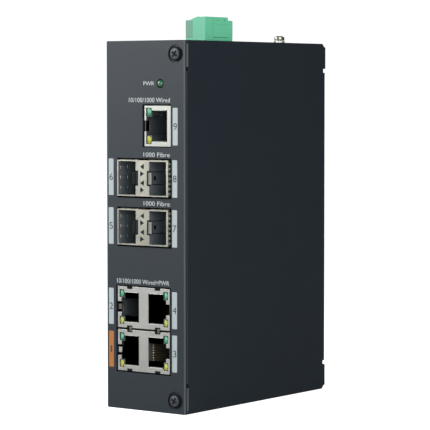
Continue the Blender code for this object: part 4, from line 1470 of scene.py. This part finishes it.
@dataclass
class CopperSockets:
    """The shielded 8P8C sockets: two stacked blocks of two, and a single one above the cages."""

    face: float = -49.8
    pitch: float = 1.016
    contacts: int = 8
    contact_start: float = 2.6
    single_reach: float = 4.85
    stack_reach: float = 2.45
    lip: float = 0.26
    shade_share: float = 0.36  # how much of a lens' width is painted as shade
    shine_rise: float = 0.14  # the painted highlight's middle and half height, as shares of the lens' height
    shine_half: float = 0.2
    lit_depth: float = 0.85  # how deep a lens is tinted; deeper faces are painted black as shade
    blocks: dict[str, tuple[str, ...]] = field(
        default_factory=lambda: {"upper": ("2", "4"), "lower": ("1", "3"), "single": ("9",)}
    )

    def sockets(self, block: str) -> list[Socket]:
        """The sockets of a block, from its light's side.

        Args:
            block: The block's name.

        Returns:
            The sockets.
        """
        shield = Room.of(f"jack_shield_{block}")
        found = []
        for number in self.blocks[block]:
            lamp = Room.of(f"jack_led_{number}_green")
            latch = 1 if lamp.centre[0] > shield.centre[0] else -1
            reach = -self.single_reach if block == "single" else self.stack_reach
            found.append(Socket(number, shield.centre[0] + latch * reach, latch, shield.centre[2]))
        return found

    def lamp(self, node: str, finishes: Sequence[Finish]) -> Thing:
        """A light's lens: an upright domed capsule, with painted shade at its left and a painted highlight
        above its middle; its faces deep in the housing are painted black as shade.

        Args:
            node: The light's CAD node.
            finishes: The finishes of its front, its painted shade and its painted highlight.

        Returns:
            The lens.
        """
        room = Room.of(node)
        radius = (room.x[1] - room.x[0]) / 2 - 0.02
        outline = rounded_outline(room.x, room.z, radius, 8)
        lens = Shape().prism(outline, room.y).object(f"lens_{node[9:]}", 0.62, 5, 50)
        shade = room.x[0] + self.shade_share * (room.x[1] - room.x[0])
        tall = room.z[1] - room.z[0]
        shine = around(room.centre[2] + self.shine_rise * tall, self.shine_half * tall)
        cuts = (((shade, 0, 0), (1, 0, 0)), ((0, 0, shine[0]), (0, 0, 1)), ((0, 0, shine[1]), (0, 0, 1)))
        with edited(lens.data) as bm:
            for point, normal in cuts:
                bmesh.ops.bisect_plane(bm, geom=bm.verts[:] + bm.edges[:] + bm.faces[:],
                    plane_co=Vector(point) * MM, plane_no=normal)
        lens = levelled(lens, 50)
        lens.data.materials.clear()
        for finish in (*finishes, BLACK_NYLON):
            lens.data.materials.append(finish.material())
        for face in lens.data.polygons:
            spot = face.center / MM
            if spot.y > self.face + self.lit_depth:
                face.material_index = 3
            elif spot.y > self.face + 0.1 or spot.x < shade:
                face.material_index = 1
            else:
                face.material_index = 2 if shine[0] < spot.z < shine[1] else 0
        return lens

    def bezel(self, shape: Shape, node: str) -> None:
        """Adds the round-cornered frame between a lens and the shield's square opening.

        Args:
            shape: The shape to add to.
            node: The lens' CAD node.
        """
        room = Room.of(node)
        inner = rounded_outline(room.x, room.z, (room.x[1] - room.x[0]) / 2 - 0.02, 8)
        outer = rounded_outline((room.x[0] - 0.26, room.x[1] + 0.26), (room.z[0] - 0.26, room.z[1] + 0.26),
            0.1, 8)
        for level in range(len(inner)):
            after = (level + 1) % len(inner)
            quad = [inner[level], inner[after], outer[after], outer[level]]
            shape.prism(quad, (self.face + 0.42, self.face + 0.9))

    def lips(self, shape: Shape, socket: Socket, half: float, width: float) -> None:
        """Adds the shield's lips, bent in at the top and bottom of an opening.

        Args:
            shape: The shape to add to.
            socket: The socket.
            half: Half the opening's height.
            width: The opening's width.
        """
        span = sorted((socket.inner + socket.latch * 0.5, socket.inner + socket.latch * (width - 0.25)))
        for side in (-1, 1):
            edge = socket.height + side * (half + 0.05)
            path = [(self.face + 0.05, edge), (self.face + 0.2, edge - side * 0.1),
                (self.face + 0.5, edge - side * 0.22), (self.face + 2.4, edge - side * 0.42)]
            shape.prism(bent_strip(path, self.lip), tuple(span), "X")

    def latch_tab(self, shape: Shape, socket: Socket, shield: Room) -> None:
        """Adds the folded tab behind the notch for a plug's latch.

        Args:
            shape: The shape to add to.
            socket: The socket.
            shield: The shield's box.
        """
        outer = shield.x[1] if socket.latch > 0 else shield.x[0]
        if socket.latch > 0 or socket.number == "9":
            wall = sorted((outer, outer - socket.latch * 0.35))
            depth = 0.7 if socket.number == "9" else 3.0
            shape.box(tuple(wall), (self.face + 0.35, self.face + depth), around(socket.height, 2.75))
        else:
            wall = sorted((outer - socket.latch * 0.05, outer - socket.latch * 1.75))
            shape.box(tuple(wall), (self.face + 0.4, self.face + 0.8), around(socket.height, 1.1))
            shape.box((wall[0], wall[0] + 0.3), (self.face + 0.4, self.face + 3.0),
                around(socket.height, 1.1))

    def notches(self, shape: Shape, shield: Room) -> None:
        """Adds black pads at the top and bottom edges of a stacked block's shield: painted shade that
        stands in for each notch.

        Args:
            shape: The shape to add to.
            shield: The shield's box.
        """
        for side in (-1, 1):
            x = sorted((shield.centre[0] + side * 5.85, shield.centre[0] + side * 8.5))
            for edge, inward in ((shield.z[0], 1), (shield.z[1], -1)):
                z = sorted((edge, edge + inward * 0.95))
                shape.box(tuple(x), (self.face - 0.04, self.face + 0.4), tuple(z))

    def links(self) -> None:
        """Builds the folded tabs that tie the two stacked blocks' shields together."""
        lower, upper = Room.of("jack_shield_lower"), Room.of("jack_shield_upper")
        shape = Shape()
        for side in (-1, 1):
            middle = lower.centre[0] + side * 7.2 + 0.55
            path = [(self.face - 0.1, lower.z[1] - 0.75), (self.face - 0.14, lower.z[1]),
                (self.face - 0.05, upper.z[0] + 0.35), (self.face + 0.25, upper.z[0] + 0.8)]
            shape.prism(bent_strip(path, 0.12), around(middle, 0.55), "X")
        fitted(shape.object("shield_links", 0.03), DULL_STEEL, "switch")

    def build(self) -> None:
        """Builds the blocks."""
        for block, numbers in self.blocks.items():
            shield = Room.of(f"jack_shield_{block}")
            sockets = self.sockets(block)
            half, width = (6.35, 7.85) if block == "single" else (6.15, 7.75)
            shell = refined(f"jack_shield_{block}", "shell", 0.07)
            folds, bezels, tabs, notches = Shape(), Shape(), Shape(), Shape()
            for socket in sockets:
                self.lips(folds, socket, half, width)
                self.latch_tab(folds if socket.number == "1" else tabs, socket, shield)
                for colour in LIGHTS:
                    self.bezel(bezels, f"jack_led_{socket.number}_{colour}")
            if len(sockets) > 1:
                self.notches(notches, shield)
            tin = BRIGHT_TIN if block == "single" else TINNED
            pieces = [painted(shell, tin), painted(folds.object("folds", 0.05), tin),
                painted(tabs.object("tabs", 0.05), DULL_STEEL)]
            if len(sockets) > 1:
                # Black pads: painted shade where each notch is.
                pieces.append(painted(notches.object("notches"), PAINTED_SHADE_BLACK))
            metal = joined(f"socket_shield_{block}", pieces)
            fitted(metal, None, "switch", f"jack_shield_{block}", slot=tin)
            core = refined(f"jack_housing_{block}", "core", 0.1)
            moulding = joined(f"socket_housing_{block}", [core, bezels.object("bezels")])
            fitted(moulding, BLACK_NYLON, "switch", f"jack_housing_{block}")
            self.springs(block, sockets)
            for number in numbers:
                for colour, finishes in LIGHTS.items():
                    node = f"jack_led_{number}_{colour}"
                    fitted(self.lamp(node, finishes), None, "switch", node, slot=finishes[0])
        self.links()

    def springs(self, block: str, sockets: Sequence[Socket]) -> None:
        """Builds the contact springs of a block's sockets: wires painted dark gold as shade, with bright
        gold tips.

        Args:
            block: The block's name.
            sockets: Its sockets.
        """
        parts = []
        low = -(self.contacts - 1) / 2 * self.pitch
        for socket in sockets:
            start = (socket.inner + socket.latch * 0.3, self.face + self.contact_start, socket.height + low)
            parts.append(repeated(
                f"springs_{socket.number}", spring_tree(), [start], SHADED_GOLD_WIRE, STRAIGHT,
                count=self.contacts, step=(0.0, 0.0, self.pitch), run=(socket.latch * 2.7, 8.8, 0.0),
                lift=(socket.latch * 0.5, 0.0, 0.0), width=0.46, thickness=0.24,
            ))
            tips = Shape()
            for index in range(self.contacts):
                z = start[2] + index * self.pitch
                tips.rod((start[0] + socket.latch * 0.15, start[1] + 0.1, z - 0.22),
                    (start[0] + socket.latch * 0.15, start[1] + 0.1, z + 0.22), 0.3, sides=12)
            parts.append(painted(tips.object(f"tips_{socket.number}", 0.04), GOLD))
        fitted(joined(f"contact_springs_{block}", parts), None, "switch")


@dataclass
class PowerLight:
    """The round light near the top of the front panel."""

    radius: float = 1.5
    flange: float = 1.88
    length: float = 5.0

    def build(self) -> None:
        """Builds the light."""
        room = Room.of("power_led")
        base = room.y[0] + self.radius
        arc = [(self.radius * math.sin(math.radians(turn)), self.radius * math.cos(math.radians(turn)))
            for turn in range(0, 91, 9)]
        profile = [*arc, (self.radius, -3.9), (self.flange, -4.0), (self.flange, -self.length),
            (0.0, -self.length)]
        place = Matrix.Translation((room.centre[0], base, room.centre[2])) @ Matrix.Rotation(math.pi / 2, 4,
            "X")
        lens = Shape().turned(profile, place, 36).object("power_lens", angle=50)
        fitted(lens, DEEP_GREEN_LENS, "switch", "power_led")


@dataclass
class FibreCages:
    """Two cages of two fibre ports side by side, with what is inside and around them."""

    face: float = -51.0
    finger_pitch: float = 2.0
    finger_width: float = 1.0
    windows: tuple[tuple[float, int], ...] = ((4.7, -1), (1.85, 1), (-1.9, -1), (-4.7, 1))
    window_radius: float = 1.3
    levels: dict[str, tuple[str, str]] = field(
        default_factory=lambda: {"upper": ("6", "8"), "lower": ("5", "7")}
    )

    def fingers(self, level: str, cage: Room) -> Thing:
        """The spring fingers that earth a cage to its opening, on all its sides.

        Args:
            level: upper or lower.
            cage: The cage's box.

        Returns:
            The fingers.
        """
        parts = []
        low = cage.centre[2] - 3 * self.finger_pitch
        for side in (-1, 1):
            edge = cage.x[1] if side > 0 else cage.x[0]
            parts.append(repeated(f"side_fingers_{side}", spring_tree(),
                [(edge + side * 0.02, self.face + 0.3, low)], FINGER_NICKEL, STRAIGHT, count=7,
                step=(0.0, 0.0, self.finger_pitch), run=(0.0, 7.0, 0.0), lift=(side * 0.82, 0.0, 0.0),
                width=self.finger_width, thickness=0.14))
            for port in (-1, 1):
                edge = cage.z[1] if side > 0 else cage.z[0]
                start = cage.centre[0] + port * 7.8 - 3.3
                parts.append(repeated(f"edge_fingers_{side}_{port}", spring_tree(),
                    [(start, self.face + 1.1, edge + side * 0.02)], FINGER_NICKEL,
                    {"turn": [(0.0, math.pi / 2, 0.0)]}, count=3, step=(0.0, 0.0, 3.3),
                    run=(0.0, 7.0, 0.0), lift=(-side * 0.82, 0.0, 0.0), width=2.6, thickness=0.14))
        return joined(f"cage_fingers_{level}", parts)

    def inner_fingers(self, level: str, cage: Room) -> Thing:
        """The fingers pressed into the inside of a cage's outer walls, with their folded ends.

        Args:
            level: upper or lower.
            cage: The cage's box.

        Returns:
            The fingers.
        """
        parts = []
        ends = Shape()
        for side in (-1, 1):
            wall = cage.centre[0] + side * 12.05
            low = cage.centre[2] - 4.1
            # The inner fingers are painted darker nickel as shade.
            parts.append(repeated(
                f"inner_fingers_{side}", spring_tree(), [(wall, self.face + 0.9, low)], SHADED_NICKEL,
                STRAIGHT, count=3, step=(0.0, 0.0, 4.1), run=(0.0, 4.2, 0.0),
                lift=(-side * 0.4, 0.0, 0.0), width=1.4, thickness=0.16,
            ))
            for row in range(3):
                for deep in (0.7, 5.1):
                    x = sorted((wall, wall - side * 0.3))
                    ends.box(tuple(x), (self.face + deep, self.face + deep + 0.35),
                        around(low + row * 4.1, 0.7))
        parts.append(painted(ends.object("ends", 0.06), NICKEL))
        return joined(f"inner_fingers_{level}", parts)

    def window_frames(self, level: str, cage: Room) -> Thing:
        """The dark frames printed round the divider's four windows.

        Args:
            level: upper or lower.
            cage: The cage's box.

        Returns:
            The frames.
        """
        frames = Shape()
        for rise, points in self.windows:
            x, z = cage.centre[0] - 0.2 - points * 0.3, cage.centre[2] + rise
            rings = [[(x + points * radius * math.cos(turn), z + radius * math.sin(turn)) for turn in (0.0,
                2 * math.pi / 3, 4 * math.pi / 3)] for radius in (0.62, self.window_radius)]
            for corner in range(3):
                after = (corner + 1) % 3
                quad = [rings[0][corner], rings[0][after], rings[1][after], rings[1][corner]]
                frames.prism(quad, (self.face - HAIR, self.face + 0.3))
        return frames.object(f"window_frames_{level}")

    def inside(self, cage: Room, spot: Vector) -> bool:
        """Whether a spot is inside a cage, behind its face, where the cage is painted darker as shade."""
        return (spot.y > self.face + 0.3 and cage.x[0] + 0.2 < spot.x < cage.x[1] - 0.2 and cage.z[0]
            + 0.2 < spot.z < cage.z[1] - 0.2)

    def card_contacts(self, level: str) -> Thing:
        """The rows of contacts in a cage's two card sockets.

        Args:
            level: upper or lower.

        Returns:
            The contacts.
        """
        room = Room.of(f"sfp_connector_{level}")
        parts = []
        for side in (-1, 1):
            middle = room.centre[0] + side * 7.8
            for face in (-1, 1):
                parts.append(repeated(
                    f"card_contacts_{side}_{face}", spring_tree(),
                    [(middle + face * 0.5, room.y[0] + 0.4, room.centre[2] - 3.6)], GOLD,
                    STRAIGHT, count=10, step=(0.0, 0.0, 0.8), run=(0.0, 4.6, 0.0),
                    lift=(-face * 0.28, 0.0, 0.0), width=0.34, thickness=0.12,
                ))
        return joined(f"card_contacts_{level}", parts)

    def build(self) -> None:
        """Builds both cages."""
        for level, numbers in self.levels.items():
            cage = Room.of(f"sfp_cage_{level}")
            step = Shape().box((cage.x[0] + 0.55, cage.x[0] + 1.1), (self.face - 1, self.face + 0.6),
                (cage.z[0] + 0.5, cage.z[1] - 0.5))
            # The cage's inside faces are painted darker as shade.
            shell = lined(refined(f"sfp_cage_{level}", f"fibre_cage_{level}", 0.09, cuts=step), NICKEL,
                SHADED_NICKEL, functools.partial(self.inside, cage))
            fitted(shell, None, "switch", f"sfp_cage_{level}", slot=NICKEL)
            fitted(self.fingers(level, cage), None, "switch")
            fitted(self.inner_fingers(level, cage), None, "switch")
            fitted(self.window_frames(level, cage), WINDOW_INK, "switch")
            carried(f"sfp_connector_{level}", f"card_socket_{level}", 0.15, BLACK_NYLON)
            fitted(self.card_contacts(level), None, "switch")
            carried(f"sfp_light_pipes_{level}", f"light_pipes_{level}", 0.12, CLEAR_PIPE)
            for number in numbers:
                node = f"sfp_latch_{number}"
                # The left ports' tongues are painted near-black as shade; every tongue's deeper part is
                # painted darker as shade.
                finish = TONGUE_NICKEL if Room.of(node).centre[0] > cage.centre[0] else SHADOWED_TONGUE_NICKEL
                tongue = lined(refined(node, f"latch_tongue_{number}", 0.06), finish, SHADED_NICKEL,
                    lambda spot: spot.y > self.face + 0.6)
                fitted(tongue, None, node, node, slot=NICKEL)


@dataclass
class TerminalBlock:
    """The pluggable power terminal on the top panel."""

    foot: float = 151.4  # height of the header's top
    top: float = 158.45
    panel: Span = (5.3, 15.6)  # the raised panel's ends, from the plug's front end
    ticks: Span = (8.8, 13.8)
    groove: float = 0.5
    end_plate: float = 3.6
    inset: float = 0.06
    pin: float = 0.5  # half a pin's width

    def build(self) -> None:
        """Builds the header, the plug, its screws and its clamps."""
        header, plug = Room.of("terminal_header"), Room.of("terminal_plug")
        lines, skirt = Shape(), Shape()
        left, right, start, rear = plug.x[0], plug.x[1], plug.y[0], plug.y[1] - self.inset
        first, last = (start + reach for reach in self.panel)
        lines.box((right - self.groove, right + 1), around(first, 0.4), (self.foot + 0.2, 159.0))
        for reach in self.ticks:
            lines.box((right - 0.6, right + 1), around(start + reach, 1.0), (158.25, 158.75))
        lines.box((right - 0.2, right + 1), (first, last), (156.85, 157.1))
        body = refined("terminal_plug", "plug_body", 0.22, cuts=lines)
        foot = (self.foot, self.foot + 0.35)
        for low, high, back in ((start + self.inset, start + 5.5, self.inset), (start + 5.5, last, 0.7),
                (last, rear, self.inset)):
            skirt.box((left + self.inset, right - back), (low, high), foot)
        # A thin plate over the left of the plug's end face, painted a greyer, darker green as shade.
        end = Shape().box((left + 0.02, left + self.end_plate), (start - 0.04, start + 0.12),
            (self.foot + 0.02, self.top))
        # The front end faces are painted darker green as shade.
        whole = joined("terminal_plug_body", [
            lined(body, GREEN_NYLON, END_FACE_SHADE_GREEN, lambda spot: spot.y < start + 0.05),
            lined(skirt.object("skirt"), GREEN_NYLON, END_FACE_SHADE_GREEN, lambda spot: spot.y < start + 0.1),
            painted(end.object("end", 0.05), SHADED_GREEN),
        ])
        fitted(whole, None, "terminal_plug", "terminal_plug", slot=GREEN_NYLON)
        rims = Shape()
        rims.box((header.x[1] - 0.2, header.x[1] + 1), (header.y[0] - 1, header.y[1] + 1), (150.35, 150.5))
        # The header's front face is painted darker green as shade.
        socket = lined(refined("terminal_header", "terminal_socket", 0.15, cuts=rims), GREEN_NYLON,
            END_FACE_SHADE_GREEN, lambda spot: spot.y < header.y[0] + 0.1)
        fitted(socket, None, "switch", "terminal_header", slot=GREEN_NYLON)
        for number in range(1, 5):
            screw, clamp = f"terminal_screw_{number}", f"wire_clamp_{number}"
            carried(screw, f"clamp_screw_{number}", 0.1, ZINC, screw)
            carried(clamp, f"clamp_cage_{number}", 0.15, ZINC, clamp)
        pins = Shape()
        for number in range(1, 5):
            y = Room.of(f"terminal_screw_{number}").centre[1]
            x = header.centre[0]
            neck = self.foot - 0.6
            pins.box(around(x, self.pin), around(y, self.pin), (header.z[0] + 3.0, neck))
            pins.rod((x, y, neck), (x, y, self.foot), self.pin, self.pin / 2, 4)
        fitted(pins.object("header_pins", 0.08), TIN_PINS, "switch")


@dataclass
class EarthPoint:
    """The earth screw on the top panel, with its washers."""

    head_radius: float = 2.15
    head_height: float = 1.95
    shank_length: float = 6.0

    def build(self) -> None:
        """Builds the screw and its washers."""
        washer, screw = Room.of("earth_washer"), Room.of("earth_screw")
        x, y = washer.centre[:2]
        base = washer.z[0]
        parts = []
        for height, twist, finish in ((base + 0.3, 0.75, BRIGHT_NICKEL),
                (base + 0.66, -0.75, BRIGHT_NICKEL)):
            parts.append(repeated(
                f"washer_{height}", washer_tree(), [(x, y, height)], finish, outer_radius=2.36,
                bore_radius=1.5, thickness=0.26, twist=twist, teeth=10,
            ))
        fitted(joined("earth_washers", parts), None, "earth_washer", "earth_washer")
        seat = (x, y, screw.z[0] + self.shank_length)
        head = repeated("earth_screw_head", screw_tree(), [seat], NICKEL, {"facing": [(0.0, 0.0, 1.0)]},
            head_radius=self.head_radius, head_height=self.head_height, shank_length=self.shank_length,
            dome=0.7, seed=2)
        fitted(rounded(head, 0.25, 2, 40), NICKEL, "earth_screw", "earth_screw")


@dataclass
class RailClip:
    """The clip for a 35 mm rail on the rear, with its sprung latch."""

    wire: float = 0.3
    radius: float = 1.7
    turns: float = 6.0
    travel: float = 4.0

    def build(self) -> None:
        """Builds the plate, the latch, its spring and the plate's screws."""
        carried("din_clip_plate", "clip_plate", 0.2, ZINC)
        carried("din_latch", "clip_latch", 0.2, ZINC, "din_latch")
        for number in (1, 2):
            carried(f"din_screw_{number}", f"clip_screw_{number}", 0.06, ZINC)
        room = Room.of("din_spring")
        length = room.z[1] - room.z[0]
        foot = (0.0, room.y[0] + self.radius + self.wire, room.z[0] + self.wire)
        spring = repeated("latch_spring", coil_tree(), [foot], SPRING_STEEL, radius=self.radius,
            height=length - 2 * self.wire, turns=self.turns, wire_radius=self.wire - 0.02)
        fitted(spring, SPRING_STEEL, "switch", "din_spring")
        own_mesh(spring)


@dataclass
class Interior:
    """The board upright beside the cover, and the larger parts on it."""

    outer_limbs: tuple[Span, ...] = ((-10.0, -6.0), (10.0, 14.0))
    window: Span = (-6.0, 10.0)
    winding: Span = (-12.4, 16.4)
    winding_start: float = 24.0
    layer: float = 4.02
    layers: int = 5

    def capacitor(self, number: int) -> None:
        """Builds a capacitor: a sleeved can with a pressed vent and a rolled neck.

        Args:
            number: The capacitor's number.
        """
        node = f"bulk_capacitor_{number}"
        room = Room.of(node)
        radius, length = (room.z[1] - room.z[0]) / 2, room.x[1] - room.x[0]
        profile = [(0.0, length - 0.25), (radius - 1.1, length - 0.25), (radius - 0.7, length),
            (radius - 0.25, length - 0.1), (radius, length - 0.45), (radius, 3.2), (radius - 0.35, 2.7),
            (radius - 0.35, 2.3), (radius, 1.8), (radius, 0.4), (radius - 0.4, 0.0), (0.0, 0.0)]
        place = Matrix.Translation((room.x[1], room.centre[1],
            room.centre[2])) @ Matrix.Rotation(-math.pi / 2, 4, "Y")
        fitted(Shape().turned(profile, place, 40).object(f"capacitor_{number}", angle=25), ALUMINIUM,
            "switch", node)

    def transformer(self) -> None:
        """Builds the transformer: a ferrite core round a taped winding."""
        node = "power_transformer"
        room = Room.of(node)
        core, winding = Shape(), Shape()
        for limb in self.outer_limbs:
            core.box(room.x, limb, room.z)
        for x in ((room.x[1] - 4.0, room.x[1]), (room.x[0], room.x[0] + 3.0)):
            core.box(x, self.window, room.z)
        outline = rounded_outline((room.x[0] + 2.6, room.x[1] - 2.0), self.winding, 2.0)
        for step in range(self.layers):
            low = self.winding_start + step * self.layer
            winding.prism(outline, (low, low + 3.9), "Z")
        whole = joined("power_transformer_body", [painted(core.object("core", 0.25), FERRITE),
            painted(winding.object("winding", 0.12), TAPE)])
        fitted(whole, None, "switch", node)

    def build(self) -> None:
        """Builds the board and its parts."""
        carried("main_pcb", "circuit_board", 0.08, SOLDER_MASK)
        carried("heatsink", "heatsink_fins", 0.15, ALUMINIUM)
        for number in (1, 2):
            self.capacitor(number)
        self.transformer()
        for number in range(1, 5):
            carried(f"pcb_standoff_{number}", f"board_pillar_{number}", 0.15, NICKEL)
        board = Room.of("main_pcb")
        for name, finish, seed, size in (("board_chips", BLACK_NYLON, 11, 1.5),
                ("board_resistors", CERAMIC, 23, 1.0)):
            parts = repeated(name, small_part_tree(), [(board.x[0] - 0.28, board.centre[1],
                board.centre[2])], finish, columns=13, rows=19, spread=(0.0, 84.0, 120.0), part_size=size,
                seed=seed)
            fitted(parts, finish, "switch")


@dataclass(frozen=True)
class Softbox:
    """A soft light: where it stands, how large it is, both in metres, and its power in watts."""

    name: str
    place: Triple
    size: Span
    power: float


@dataclass
class Studio:
    """The pale floor, the soft lights and the camera."""

    eye: Triple = (555.16, -748.61, 129.94)
    azimuth: float = 36.655
    elevation: float = 3.227
    roll: float = -0.031
    lens: float = 185.09
    middle: Triple = (0.0, -0.04, 0.085)  # what the lights point at, in metres
    lights: tuple[Softbox, ...] = (
        Softbox("key_softbox", (-0.36, -0.42, 0.36), (0.34, 0.42), 4.25),
        Softbox("side_fill", (0.9, -0.45, 0.5), (0.6, 0.6), 6.5),
        Softbox("front_fill", (0.58, -0.78, 0.20), (0.35, 0.35), 2.6),
    )

    def camera(self) -> None:
        """Makes the camera, level with the front edge of the case and to its right."""
        data = bpy.data.cameras.new("camera")
        data.lens = self.lens
        data.sensor_width = 36.0
        data.clip_start, data.clip_end = 0.05, 20.0
        camera = new_object("camera", data)
        turn, drop = math.radians(self.azimuth), math.radians(self.elevation)
        view = Vector((-math.sin(turn) * math.cos(drop), math.cos(turn) * math.cos(drop), -math.sin(drop)))
        upright = view.to_track_quat("-Z", "Y").to_matrix().to_4x4()
        roll = Matrix.Rotation(math.radians(self.roll), 4, "Z")
        camera.matrix_world = Matrix.Translation(Vector(self.eye) * MM) @ upright @ roll
        bpy.context.scene.camera = camera

    def shine(self, box: Softbox) -> None:
        """Makes an area light.

        Args:
            box: The light's place, size and power.
        """
        data = bpy.data.lights.new(box.name, "AREA")
        data.shape = "RECTANGLE"
        data.size, data.size_y = box.size
        data.energy = box.power
        light = new_object(box.name, data)
        aim = (Vector(self.middle) - Vector(box.place)).to_track_quat("-Z", "Y")
        light.matrix_world = Matrix.Translation(box.place) @ aim.to_matrix().to_4x4()

    def world(self) -> None:
        """Makes a white surround that lights the scene only weakly."""
        world = bpy.data.worlds.new("studio")
        world.use_nodes = True
        graph = Graph(world.node_tree)
        seen = graph.add("ShaderNodeLightPath").outputs["Is Camera Ray"]
        strength = graph.add("ShaderNodeMapRange", {"Value": seen, "To Min": 0.12, "To Max": 1.05})
        surround = world.node_tree.nodes["Background"]
        surround.inputs["Color"].default_value = (1.0, 1.0, 1.0, 1.0)
        graph.feed(surround.inputs["Strength"], strength.outputs["Result"])
        bpy.context.scene.world = world

    def floor(self) -> None:
        """Makes the pale floor."""
        sheet = Shape().prism(rounded_outline((-3000.0, 3000.0), (-3000.0, 3000.0), 800.0), (-2.0, -0.05),
            "Z")
        floor = sheet.object("studio_floor")
        material = bpy.data.materials.new("pale_floor")
        material.use_nodes = True
        graph = Graph(material.node_tree)
        shader = material.node_tree.nodes["Principled BSDF"]
        shader.inputs["Base Color"].default_value = (0.55, 0.55, 0.55, 1.0)
        shader.inputs["Roughness"].default_value = 0.9
        shader.inputs["Specular IOR Level"].default_value = 0.1
        seen = graph.add("ShaderNodeLightPath").outputs["Is Camera Ray"]
        shader.inputs["Emission Color"].default_value = (1.0, 1.0, 1.0, 1.0)
        graph.feed(shader.inputs["Emission Strength"], graph.times(seen, 0.97))
        floor.data.materials.append(material)

    def build(self) -> None:
        """Builds the studio."""
        self.camera()
        self.world()
        self.floor()
        for box in self.lights:
            self.shine(box)
        bpy.context.scene.view_settings.view_transform = "Standard"


def main() -> None:
    """Builds the looks round the frame."""
    logging.basicConfig(level=logging.INFO, format="%(name)s: %(message)s")
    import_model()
    assemblies = (Studio(), Case(), Legends(), CopperSockets(), PowerLight(), FibreCages(), TerminalBlock(),
        EarthPoint(), RailClip(), Interior())
    for assembly in assemblies:
        assembly.build()
        log.info("%s is built", type(assembly).__name__)


if __name__ == "__main__":
    main()
